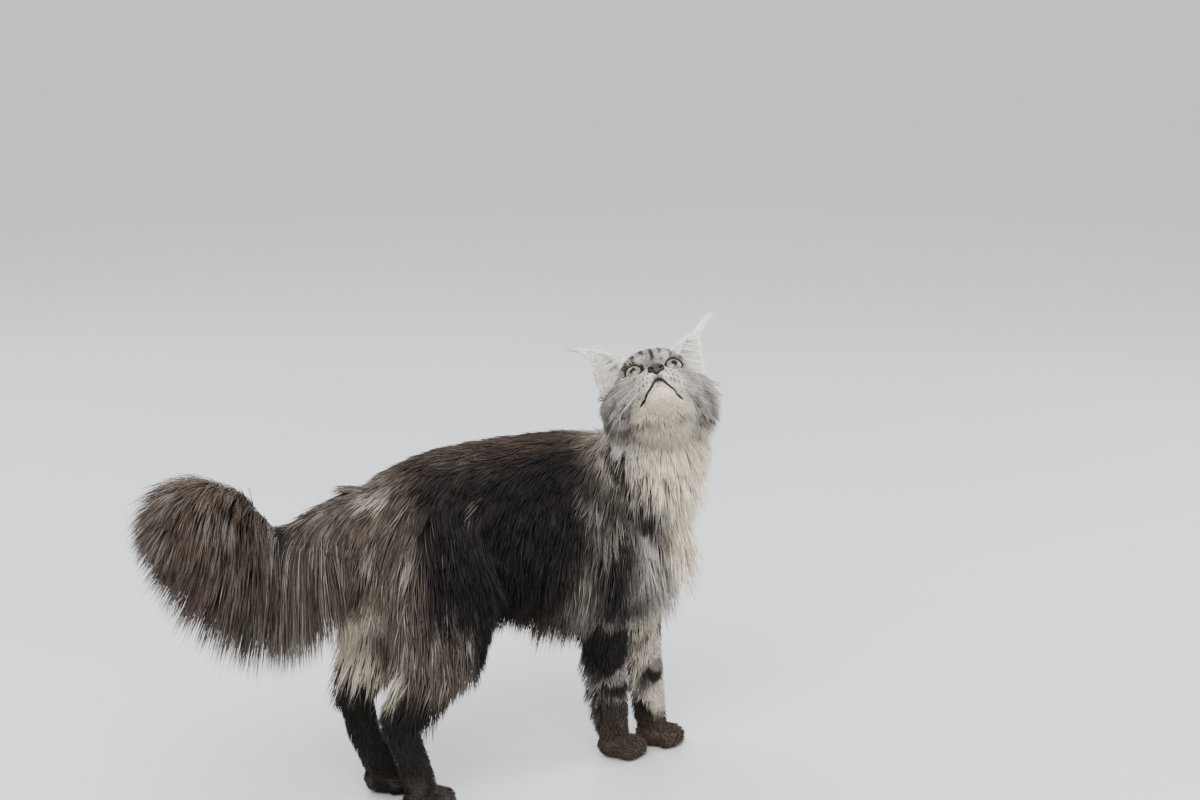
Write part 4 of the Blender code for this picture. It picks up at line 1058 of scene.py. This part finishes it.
def combed(points, ways, sizes, sags):
    """Locks grown step by step along the lie, bent down by their weight, held off skin and floor."""
    paths = [points]
    for k in range(1, STEPS):
        ways = unit(ways + (sags / STEPS)[:, None] * DOWNWARD)
        ahead = paths[-1] + ways * (sizes / (STEPS - 1))[:, None]
        clear = LYING + 0.06 * sizes * (k / STEPS)
        for i in range(len(ahead)):
            near, normal, _, _ = skin_tree.find_nearest(ahead[i], 0.03)
            if near is None:
                continue
            height = (Vector(ahead[i]) - near).dot(normal)
            if height < clear[i]:
                ahead[i] = near + normal * clear[i]
        ahead[:, 2] = np.maximum(ahead[:, 2], OFF_FLOOR)
        ways = unit(ahead - paths[-1])
        paths.append(ahead)
    return np.stack(paths, axis=1)


# How many strands each place wants: short hair more than long, none under the soles and none where
# the skin is bare, at the eyes, the nose and the lips.
LOCKS = 7000
STRANDS = 92000
fur_count = 1.0 / np.clip(lengths, 0.004, 0.06) ** 0.55
fur_count *= 1 + 1.3 * (kin[ON_HEAD] * (1 - eared))
on_forelegs = kin[ON_FORE_RIGHT] + kin[ON_FORE_LEFT]
on_hindlegs = kin[ON_HIND_RIGHT] + kin[ON_HIND_LEFT]
fur_count *= 1 + 3.0 * kin[ON_TAIL] + 0.5 * kin[ON_NECK] - 0.25 * on_forelegs - 0.30 * on_hindlegs
fur_count[spots[:, 2] < 0.0015] = 0
bare = np.zeros(len(spots))
head_place = in_head(spots)
for side in (1, -1):
    bare = np.maximum(bare, eye_opening_share(head_place, side)[0] < 1.06)
nose_off = (head_place - np.array((0.0305, 0, -0.0225))) / np.array((0.0080, 0.0088, 0.0062))
bare = np.maximum(bare, np.linalg.norm(nose_off, axis=1) < 1)
bare = np.maximum(bare, band(right_on_left(head_place), LIP, 0.0012, 0.2))
bare = np.maximum(bare, band(right_on_left(head_place), CLEFT, 0.0008, 0.2))
ear_cup = eared * ease(0.0, 0.3, facing @ INSIDE_EAR)
fur_count *= 1 - 0.7 * ear_cup
fur_count[bare > 0.5] = 0

_, _, at_locks = scatter(LOCKS, fur_count, 5)
lock_root = at_locks(spots)
lock_normal = unit(at_locks(facing))
lock_start = unit(at_locks(lies))
lock_rng = np.random.default_rng(6)
lock_length = at_locks(lengths) * lock_rng.uniform(0.82, 1.12, LOCKS)
stray = lock_rng.normal(size=(LOCKS, 3)) * (0.12 - 0.07 * at_locks(kin[ON_TAIL]))[:, None]
upright = np.einsum("ij,ij->i", stray, lock_normal)[:, None] * lock_normal
lock_start = unit(lock_start + stray - upright)
lock_paths = combed(lock_root, lock_start, lock_length, at_locks(droops))
lock_tree = KDTree(LOCKS)
for i, place in enumerate(lock_root):
    lock_tree.insert(place, i)
lock_tree.balance()

# Each strand takes its shape from the four locks nearest to it and leans into the nearest one.
strand_face, strand_shares, at_strands = scatter(STRANDS, fur_count, 7)
strand_root = at_strands(spots)
strand_normal = unit(at_strands(facing))
strand_length = at_strands(lengths)
strand_width = at_strands(widths)
strand_kin = np.stack([at_strands(share) for share in kin])
strand_eared = at_strands(eared)
strand_uv = (uv[loops[strand_face]] * strand_shares[:, :, None]).sum(axis=1)
rng = np.random.default_rng(8)
near_locks = np.zeros((STRANDS, 4), dtype=int)
near_far = np.zeros((STRANDS, 4))
for i, place in enumerate(strand_root):
    for k, (_, index, far) in enumerate(lock_tree.find_n(place, 4)):
        near_locks[i, k] = index
        near_far[i, k] = far
agree = np.einsum("ikj,ij->ik", lock_normal[near_locks], strand_normal)
pull = np.where(agree > 0.3, 1 / (near_far + 0.0008) ** 1.5, 1e-6)
pull /= pull.sum(axis=1, keepdims=True)
shape = lock_paths[near_locks] - lock_paths[near_locks][:, :, :1]
scale = strand_length / np.maximum((pull * lock_length[near_locks]).sum(axis=1), 1e-4)
scale *= rng.uniform(0.78, 1.08, STRANDS)
mean_shape = (pull[:, :, None, None] * shape).sum(axis=1) * scale[:, None, None]
paths = strand_root[:, None] + mean_shape
leader = near_locks[np.arange(STRANDS), pull.argmax(axis=1)]
reach = np.linspace(0, 1, STEPS)
clump = (0.60 * reach**1.6)[None, :, None] * np.clip(strand_length / 0.03, 0.25, 1)[:, None, None]
clump = clump * (1 - 0.45 * strand_kin[ON_TAIL])[:, None, None]
paths += (lock_paths[leader] - paths) * clump
loose = strand_length * (0.055 - 0.025 * strand_kin[ON_TAIL])
paths += (rng.normal(size=(STRANDS, 3)) * loose[:, None])[:, None] * (reach**1.5)[None, :, None]
paths[:, :, 2] = np.maximum(paths[:, :, 2], 0.0008)

# A strand shows the marking and painted shade of the place that its outer part covers. The tail's hangs
# free of it.
seen = strand_root + (paths[:, 4] - paths[:, 0])
seen_kin = strand_kin.copy()
seen_normal = strand_normal.copy()
for i in np.flatnonzero(strand_length > 0.003):
    near, _, triangle, _ = skin_tree.find_nearest(Vector(seen[i]))
    near_vertex = corners[triangle, 0]
    seen[i] = near
    seen_kin[:, i] = kin[:, near_vertex]
    seen_normal[i] = facing[near_vertex]
own_tail = strand_kin[ON_TAIL] > 0.5
seen_kin[:, own_tail] = strand_kin[:, own_tail]
seen[own_tail] = strand_root[own_tail]
blur = np.interp(strand_length, (0.005, 0.03), (0.0003, 0.0018))
seen += rng.normal(size=(STRANDS, 3)) * blur[:, None]
root_colour, tip_colour = markings_and_shade(seen, seen_normal, seen_kin, strand_eared)
tone = rng.random(STRANDS)

PATCH = 0.003  # a strand's share of the map, across and along
coat_finish = hair_finish("guard hair", 0.56)


def strands(name, path, up, width, near, far, shade, patch, rings):
    """Closed three-sided tapered strands, each with its own path, width, colours and map patch."""
    n = len(path)
    reach_at = np.linspace(0, 1, rings + 1)
    spot = reach_at * (path.shape[1] - 1)
    low = np.minimum(spot.astype(int), path.shape[1] - 2)
    part = (spot - low)[:, None, None]
    stages = path.transpose(1, 0, 2)
    line = stages[low] * (1 - part) + stages[low + 1] * part
    ahead = unit(np.gradient(line, axis=0))
    out = unit(up[None] - (ahead * up[None]).sum(axis=2, keepdims=True) * ahead)
    side = np.cross(ahead, out)
    fat = np.interp(reach_at[:-1], (0, 0.35, 0.7, 1), (0.75, 1.0, 0.78, 0.35))
    half = (width[None] * fat[:, None] / 2)[..., None]
    body = line[:-1]
    edges = body - side[:-1] * half, body + side[:-1] * half, body + out[:-1] * half * 0.9
    ring = np.stack(edges, axis=2)
    verts = np.concatenate([ring.transpose(1, 0, 2, 3).reshape(n, -1, 3), line[-1][:, None]], axis=1)
    size = rings * 3 + 1
    faces = [(0, 1, 2)]
    for r in range(rings - 1):
        for k in range(3):
            a, b = r * 3 + k, r * 3 + (k + 1) % 3
            faces += [(a, a + 3, b), (b, a + 3, b + 3)]
    for k in range(3):
        faces.append(((rings - 1) * 3 + k, size - 1, (rings - 1) * 3 + (k + 1) % 3))
    index = (np.array(faces)[None] + (np.arange(n) * size)[:, None, None]).reshape(-1, 3)
    mesh = bpy.data.meshes.new(name)
    mesh.vertices.add(n * size)
    mesh.vertices.foreach_set("co", verts.astype(np.float32).ravel())
    mesh.loops.add(len(index) * 3)
    mesh.loops.foreach_set("vertex_index", index.astype(np.int32).ravel())
    mesh.polygons.add(len(index))
    mesh.polygons.foreach_set("loop_start", np.arange(0, len(index) * 3, 3, dtype=np.int32))
    mesh.polygons.foreach_set("use_smooth", np.ones(len(index), dtype=bool))
    mesh.update(calc_edges=True)
    share = np.concatenate([np.repeat(reach_at[:-1], 3), [1.0]])
    fade = (share**0.8)[None, :, None]
    set_colour(mesh, "coat", (near[:, None] * (1 - fade) + far[:, None] * fade).reshape(-1, 3))
    set_number(mesh, "strand", np.repeat(shade, size))
    across = np.concatenate([np.tile((-1.0, 1.0, 0.0), rings), [0.0]])
    corner = np.column_stack([across, share * 2 - 1]) * PATCH / 2
    layer = mesh.uv_layers.new(name="OFBake")
    places = (patch[:, None] + corner[None]).reshape(-1, 2)[index.ravel()]
    layer.uv.foreach_set("vector", places.astype(np.float32).ravel())
    mesh.materials.append(coat_finish)
    piece = piece_of(name, mesh)
    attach(piece, "root")
    return piece


part_of = strand_kin.argmax(axis=0)
left = strand_root[:, 1] > 0
low_side = strand_normal[:, 2] < -0.35
face_left = in_head(strand_root)[:, 1] > 0
fore_end = (part_of == ON_TRUNK) & (strand_root[:, 0] > 0.085)
rest = (part_of == ON_TRUNK) & ~fore_end
on_ears = (part_of == ON_HEAD) & (strand_eared >= 0.5)
face = (part_of == ON_HEAD) & ~on_ears

# Each line: piece, its strands, rings along each strand, slot.
GROUPS = (
    ("coat.back_left", rest & left & ~low_side, 4, "torso"),
    ("coat.back_right", rest & ~left & ~low_side, 4, "torso"),
    ("coat.belly", rest & low_side, 4, "torso"),
    ("coat.chest", fore_end, 4, "torso"),
    ("coat.ruff", part_of == ON_NECK, 4, "neck"),
    ("coat.face_left", face & face_left, 2, "head"),
    ("coat.face_right", face & ~face_left, 2, "head"),
    ("coat.ears", on_ears, 2, "ear_left"),
    ("coat.foreleg_right", part_of == ON_FORE_RIGHT, 2, "foreleg_right_upper"),
    ("coat.foreleg_left", part_of == ON_FORE_LEFT, 2, "foreleg_left_upper"),
    ("coat.hindleg_right", part_of == ON_HIND_RIGHT, 3, "hindleg_right_upper"),
    ("coat.hindleg_left", part_of == ON_HIND_LEFT, 3, "hindleg_left_upper"),
    ("coat.tail", part_of == ON_TAIL, 4, "tail_middle"),
)
for name, chosen, rings, slot in GROUPS:
    own = (paths, strand_normal, strand_width, root_colour, tip_colour, tone, strand_uv)
    piece = strands(name, *(values[chosen] for values in own), rings)


# Ear hair
# Long white hairs cross the cup of each ear from its inner edge and stand past its outer edge. The
# tip ends in a pale tuft, and short hairs fringe the rims.

TUFT_WAY = {1: Vector((0.30, 0.75, 0.50)), -1: Vector((0.05, -0.95, 0.22))}


def ear_spot(side, rise, way, ahead=0.0):
    """A point of an ear's sheet, or a little in front of it."""
    local = ear_point(rise, way) + EAR_OPENING * ahead
    return HEAD @ Vector((local.x, side * local.y, local.z))


ear_rng = np.random.default_rng(41)
hairs = []


def add_hair(start, middle, end, width):
    """A hair through three points, on a smooth bend."""
    t = np.linspace(0, 1, STEPS)[:, None]
    start, middle, end = (np.array(place) for place in (start, middle, end))
    bent = start * (1 - t) * (1 - 2 * t) + middle * 4 * t * (1 - t) + end * t * (2 * t - 1)
    hairs.append((bent, width))


for side in (1, -1):
    opening = (FACE_TURN @ Vector((EAR_OPENING.x, side * EAR_OPENING.y, EAR_OPENING.z))).normalized()
    for _ in range(240):  # across the cup
        rise = ear_rng.uniform(0.0, 0.82)
        start = ear_spot(side, rise, ear_rng.uniform(0.02, 0.45), 0.0008)
        over = ear_rng.uniform(0.85, 1.26)
        end = ear_spot(side, min(0.97, rise + ear_rng.uniform(0.04, 0.16)), 1.0)
        end = start.lerp(end, over) + opening * ear_rng.uniform(0.001, 0.005)
        middle = start.lerp(end, 0.5) + opening * ear_rng.uniform(0.000, 0.003)
        add_hair(start, middle, end, ear_rng.uniform(0.00045, 0.0007))
    tuft = FACE_TURN @ TUFT_WAY[side].normalized()
    peak = ear_spot(side, EAR_TOP, 0.5)
    for _ in range(130):  # the tuft on the tip
        start = ear_spot(side, ear_rng.uniform(0.80, EAR_TOP), ear_rng.uniform(0.0, 1.0))
        length = ear_rng.uniform(0.012, 0.027)
        end = peak + tuft * length + Vector(ear_rng.normal(size=3)) * 0.0013
        middle = start.lerp(end, 0.5) + (peak - start) * 0.22
        add_hair(start, middle, end, ear_rng.uniform(0.0006, 0.0010))
    for _ in range(90):  # from the inner edge up the cup
        rise = ear_rng.uniform(0.0, 0.45)
        start = ear_spot(side, rise, ear_rng.uniform(0.0, 0.12))
        end = ear_spot(side, min(0.95, rise + 0.38), 0.32) + opening * ear_rng.uniform(0.003, 0.009)
        add_hair(start, start.lerp(end, 0.5) + opening * 0.003, end, ear_rng.uniform(0.0005, 0.0008))
    for _ in range(110):  # fringe of the rims
        rise = ear_rng.uniform(0.05, 0.97)
        edge = ear_rng.choice((0.0, 1.0))
        start = ear_spot(side, rise, edge)
        past = (start - ear_spot(side, rise, 0.5)).normalized() * ear_rng.uniform(0.003, 0.006)
        rising = (ear_spot(side, min(EAR_TOP, rise + 0.1), edge) - start).normalized() * 0.004
        end = start + past * (0.7 if edge else 0.15) + rising
        add_hair(start, start.lerp(end, 0.5), end, 0.0005)
ear_paths = np.stack([hair[0] for hair in hairs])
ear_uv = np.zeros((len(hairs), 2))
for i, place in enumerate(ear_paths[:, 0]):
    _, _, triangle, _ = skin_tree.find_nearest(Vector(place))
    ear_uv[i] = uv[loops[triangle, 0]]
ear_up = np.tile(HEAD_TURN @ np.array(EAR_OPENING), (len(hairs), 1))
ear_width = np.array([hair[1] for hair in hairs])
white = np.tile(WHITE, (len(hairs), 1))
ear_tone = ear_rng.random(len(hairs))
ear_look = (ear_width, white * 0.95, white * 1.05, ear_tone, ear_uv)
piece = strands("coat.ear_hair", ear_paths, ear_up, *ear_look, 4)


# Eyes
# Two moist balls held by the lids, grey green with a dark rim to the iris and a small round pupil.
# A clear bulge stands over each iris.

PUPIL = 0.0031
IRIS = 0.0076
BULGE = 0.0009
RAMP_REACH = 0.01


def eye_finish():
    """Colour by how far out from the pupil's middle, broken by fine rays, under a wet coat."""
    material, tree = finish_tree("eye")
    look = node(tree, "ShaderNodeAttribute", {"attribute_name": "look"}, 1)
    across = node(tree, "ShaderNodeSeparateXYZ", Vector=look)
    tall = Wire(tree, across.socket.node.outputs[1])
    radial = (across * across + tall * tall) ** 0.5
    rays = node(tree, "ShaderNodeTexNoise", Vector=look, Scale=420.0, Detail=4.0)
    reach = radial + (rays - 0.5) * 0.0012
    stops = (
        (0.0, (0.004, 0.004, 0.004)),
        (PUPIL / RAMP_REACH - 0.02, (0.004, 0.004, 0.004)),
        (PUPIL / RAMP_REACH + 0.02, (0.12, 0.11, 0.045)),
        (0.42, (0.165, 0.17, 0.115)),
        (0.66, (0.225, 0.24, 0.175)),
        (0.75, (0.07, 0.07, 0.04)),
        (0.84, (0.012, 0.010, 0.009)),
    )
    ramp = node(tree, "ShaderNodeValToRGB", {"stops": stops}, Fac=reach / RAMP_REACH)
    bump = node(tree, "ShaderNodeBump", Strength=0.1, Distance=0.0002, Height=rays)
    wet = {"Coat_Weight": 0.55, "Coat_Roughness": 0.03, "Specular_IOR_Level": 0.3}
    close_tree(tree, Base_Color=ramp, Roughness=0.12 + 0.1 * rays, Normal=bump, **wet)
    return material


iris_finish = eye_finish()
for side, name in ((1, "left"), (-1, "right")):
    bm = bmesh.new()
    bmesh.ops.create_uvsphere(bm, u_segments=64, v_segments=40, radius=EYE_RADIUS)
    for vert in bm.verts:
        radial = math.hypot(vert.co.x, vert.co.y)
        if vert.co.z > 0 and radial < IRIS:
            vert.co.z += BULGE * math.cos(radial / IRIS * math.pi / 2) ** 2
    look = np.array([vert.co[:] for vert in bm.verts])
    mesh = mesh_from(bm, "eye")
    layer = mesh.attributes.new("look", "FLOAT_VECTOR", "POINT")
    layer.data.foreach_set("vector", look.astype(np.float32).ravel())
    mesh.shade_smooth()
    mesh.transform(eye_frame(side))
    mesh.materials.append(iris_finish)
    piece = piece_of("eye." + name, mesh)
    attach(piece, "root")
    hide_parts("eye_" + name)
    "eye_" + name


# Lid rims
# Bare dark skin along the edge of each lid, moist and finely pebbled. It grows out of the lid all
# round the eye's opening and is thicker above than below.


def circle(bm, place, side, up, radius, corners):
    """A ring of corners round a place."""
    turns = [math.tau * k / corners for k in range(corners)]
    return [bm.verts.new(place + (side * math.cos(t) + up * math.sin(t)) * radius) for t in turns]


def tube(bm, path, radii, sides=8):
    """A closed tapered tube along a path."""
    rings = []
    for i, place in enumerate(path):
        ahead = (path[min(i + 1, len(path) - 1)] - path[max(i - 1, 0)]).normalized()
        side = ahead.orthogonal() if i == 0 else side - ahead * side.dot(ahead)
        side = side.normalized()
        rings.append(circle(bm, place, side, ahead.cross(side), radii[i], sides))
    for near, far in zip(rings, rings[1:]):
        belt(bm, near, far)
    bm.faces.new(rings[0][::-1])
    bm.faces.new(rings[-1])


def leather_finish(name, low, high, rough):
    """Bare moist skin with a fine pebbled grain."""
    material, tree = finish_tree(name)
    place = node(tree, "ShaderNodeTexCoord", output=3)
    pebble = node(tree, "ShaderNodeTexVoronoi", {"feature": "F1"}, Vector=place, Scale=1500.0)
    cloud = cloudy(tree, 180.0, 4.0)
    colour = mixed(tree, cloud, low, high)
    bump = node(tree, "ShaderNodeBump", Strength=0.35, Distance=0.0003, Height=pebble)
    close_tree(tree, Base_Color=colour, Roughness=rough + 0.15 * cloud, Normal=bump)
    return material


RIM_STEPS = 48
RIM_LIFT = 0.0007
RIM_RADIUS = 0.00050
rim_finish = leather_finish("dark lid skin", (0.006, 0.005, 0.005), (0.020, 0.015, 0.014), 0.32)
for side, name in ((1, "left"), (-1, "right")):
    bm = bmesh.new()
    ball = eye_frame(side)
    path, radii = [], []
    for k in range(RIM_STEPS):
        across, tall = almond(k / RIM_STEPS)
        out = EYE_RADIUS + RIM_LIFT
        deep = math.sqrt(max(out * out - across * across - tall * tall, 0))
        path.append(ball @ Vector((across, tall, deep)))
        radii.append(RIM_RADIUS + RIM_RADIUS * max(0.0, tall) / (EYE_OPENING[1] / 2))
    loop = []
    for i, place in enumerate(path):
        ahead = (path[(i + 1) % RIM_STEPS] - path[i - 1]).normalized()
        outward = (place - ball.translation).normalized()
        loop.append(circle(bm, place, ahead.cross(outward), outward, radii[i], 8))
    for near, far in zip(loop, loop[1:] + loop[:1]):
        belt(bm, near, far)
    bmesh.ops.recalc_face_normals(bm, faces=bm.faces[:])
    mesh = mesh_from(bm, "rim")
    mesh.shade_smooth()
    mesh.materials.append(rim_finish)
    piece = piece_of("lid_rim." + name, mesh)
    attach(piece, "root")


# Nose leather
# A small pad of dark brown bare skin on the end of the muzzle, wide above and narrowed to the lip,
# with two comma-shaped nostrils.

bm = bmesh.new()
add_egg(bm, HEAD, (0.0288, 0, -0.0202), (0.0046, 0.0080, 0.0032))
add_egg(bm, HEAD, (0.0296, 0, -0.0242), (0.0040, 0.0046, 0.0040))
for side in (1, -1):
    add_egg(bm, HEAD, (0.0288, side * 0.0050, -0.0222), (0.0044, 0.0034, 0.0034))
pad = fused(bm, 0.0005, 3)
cuts = bmesh.new()
for side in (1, -1):
    add_egg(cuts, HEAD, (0.0330, side * 0.0040, -0.0232), (0.0036, 0.0016, 0.0013))
    add_egg(cuts, HEAD, (0.0318, side * 0.0064, -0.0222), (0.0034, 0.0014, 0.0009))
pad = combined(pad, "DIFFERENCE", mesh_from(cuts, "nostrils"))
pad.shade_smooth()
pad.materials.append(leather_finish("nose leather", (0.018, 0.013, 0.013), (0.050, 0.032, 0.031), 0.42))
nose = piece_of("nose", pad)
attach(nose, "root")


# Lips
# A dark line of bare lip skin, the same as the lids'. It runs from the cleft under the nose over the
# chin and down to the corners of the mouth, half sunk in the flesh.

LIP_STATIONS = (0, 0.12, 0.45, 0.85, 1)
LIP_RADII = (0.0007, 0.0014, 0.0010, 0.0014, 0.0016)
LIP_LIFT = 0.0009
CLEFT_LIFT = 0.0003
CLEFT_RADIUS = 0.0006


def on_flesh(local, lift=0.0):
    """The place on the skin nearest to a point of the head, or a little above it."""
    near, normal, _, _ = skin_tree.find_nearest(HEAD @ Vector(local))
    return near + normal * lift


bm = bmesh.new()
lip_line = [row[0] for row in rounded([(place, 0) for place in LIP], 6)]
for side in (1, -1):
    path = [on_flesh((x, side * y, z), LIP_LIFT) for x, y, z in lip_line]
    tube(bm, path, [np.interp(i / (len(path) - 1), LIP_STATIONS, LIP_RADII) for i in range(len(path))])
top, bottom = Vector(CLEFT[0]), Vector(CLEFT[1])
tube(bm, [on_flesh(top.lerp(bottom, k / 6), CLEFT_LIFT) for k in range(7)], [CLEFT_RADIUS] * 7)
mesh = mesh_from(bm, "lips")
mesh.shade_smooth()
mesh.materials.append(rim_finish)
lips = piece_of("lips", mesh)
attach(lips, "root")


# Whiskers
# Long stiff white hairs, thick at the root and drawn out to a point. They are rooted in four rows on
# each side of the muzzle, with a few over each eye.


def whisker(bm, start, way, length, bend, radius):
    """One whisker from its root, bent more and more toward its tip."""
    path = [start + way * (length * t) + bend * (length * t * t) for t in (k / 9 for k in range(10))]
    tube(bm, path, [radius * (1 - 0.85 * k / 9) for k in range(10)], sides=5)


bm = bmesh.new()
whisker_rng = np.random.default_rng(31)
for side in (1, -1):
    for row in range(4):
        for k in range(4):
            across = side * (0.0125 + 0.0030 * k)
            spot = (0.020 - 0.0045 * k + 0.001 * row, across, -0.0245 - 0.0035 * row)
            rising = 0.30 - 0.28 * row + whisker_rng.normal() * 0.06
            way = FACE_TURN @ Vector((0.05 - 0.10 * k, side, rising)).normalized()
            bend = FACE_TURN @ Vector((-0.35, 0, -0.15)) + DOWN * 0.12
            length = (0.031 + 0.007 * k) * whisker_rng.uniform(0.85, 1.1)
            whisker(bm, on_flesh(spot), way, length, bend, 0.00010)
    for k in range(4):
        start = on_flesh((-0.004 - 0.002 * k, side * (0.014 + 0.003 * k), 0.012))
        way = FACE_TURN @ Vector((0.25, side * (0.25 + 0.12 * k), 0.95)).normalized()
        bend = FACE_TURN @ Vector((-0.35, side * 0.1, 0))
        whisker(bm, start, way, 0.028 * whisker_rng.uniform(0.8, 1.15), bend, 0.00011)
mesh = mesh_from(bm, "whiskers")
mesh.shade_smooth()
material, tree = finish_tree("whisker")
cloud = cloudy(tree, 300.0, 2.0)
colour = mixed(tree, cloud, (0.70, 0.68, 0.64), (0.90, 0.88, 0.85))
bump = node(tree, "ShaderNodeBump", Strength=0.1, Distance=0.0002, Height=cloud)
close_tree(tree, Base_Color=colour, Roughness=0.25 + 0.1 * cloud, Normal=bump)
mesh.materials.append(material)
whiskers = piece_of("whiskers", mesh)
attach(whiskers, "root")


# Floor, light and camera
# A plain pale floor of smooth board, wide enough to meet the horizon, under soft studio light. The
# cat is seen from where the photograph was taken.

WIDE = 60
ends = [(x * WIDE, y * WIDE, 0) for x, y in ((-1, -1), (1, -1), (1, 1), (-1, 1))]
mesh = bpy.data.meshes.new("floor")
mesh.from_pydata(ends, [], [(0, 1, 2, 3)])
floor = bpy.data.objects.new("floor", mesh)
bpy.context.scene.collection.objects.link(floor)
material, tree = finish_tree("pale floor")
cloud = cloudy(tree, 1.2, 3.0)
colour = mixed(tree, cloud, (0.60, 0.61, 0.62), (0.68, 0.68, 0.68))
close_tree(tree, Base_Color=colour, Roughness=0.30 + 0.08 * cloud)
mesh.materials.append(material)

world = bpy.data.worlds.new("studio")
bpy.context.scene.world = world
world.use_nodes = True
sky = world.node_tree.nodes["Background"]
sky.inputs["Color"].default_value = (0.80, 0.82, 0.86, 1)
sky.inputs["Strength"].default_value = 1.05


def softbox(name, place, target, size, power, colour):
    """A broad lamp aimed at a place on the cat."""
    light = bpy.data.lights.new(name, "AREA")
    light.shape = "RECTANGLE"
    light.size, light.size_y = size
    light.energy = power
    light.color = colour
    lamp = bpy.data.objects.new(name, light)
    lamp.location = place
    lamp.rotation_euler = (Vector(target) - Vector(place)).to_track_quat("-Z", "Y").to_euler()
    bpy.context.scene.collection.objects.link(lamp)


softbox("key", (-1.3, -1.9, 2.6), (0, 0, 0.2), (2.4, 1.8), 104, (1.0, 0.97, 0.92))
softbox("window", (2.6, -0.6, 1.5), (0, 0, 0.2), (2.4, 2.0), 50, (0.93, 0.96, 1.0))
softbox("back", (-0.8, 2.4, 2.2), (0, 0, 0.3), (2.4, 1.6), 40, (1.0, 0.98, 0.95))
softbox("fill", (0.2, -2.6, 0.7), (0.1, 0, 0.3), (2.4, 1.2), 32, (1.0, 0.98, 0.95))

# The camera stood 0.80 m up and 1.9 m off.
CAMERA_DIP = math.radians(12.13)
camera_data = bpy.data.cameras.new("camera")
camera_data.sensor_width = 36
camera_data.lens = 60
camera = bpy.data.objects.new("camera", camera_data)
camera.location = Vector((-0.845, -1.726, 0.80)) + STAND
look = Vector((0.4695, 0.883, 0)) * math.cos(CAMERA_DIP) + DOWN * math.sin(CAMERA_DIP)
camera.rotation_euler = look.to_track_quat("-Z", "Y").to_euler()
bpy.context.scene.collection.objects.link(camera)
bpy.context.scene.camera = camera
bpy.context.scene.view_settings.look = "AgX - Medium High Contrast"
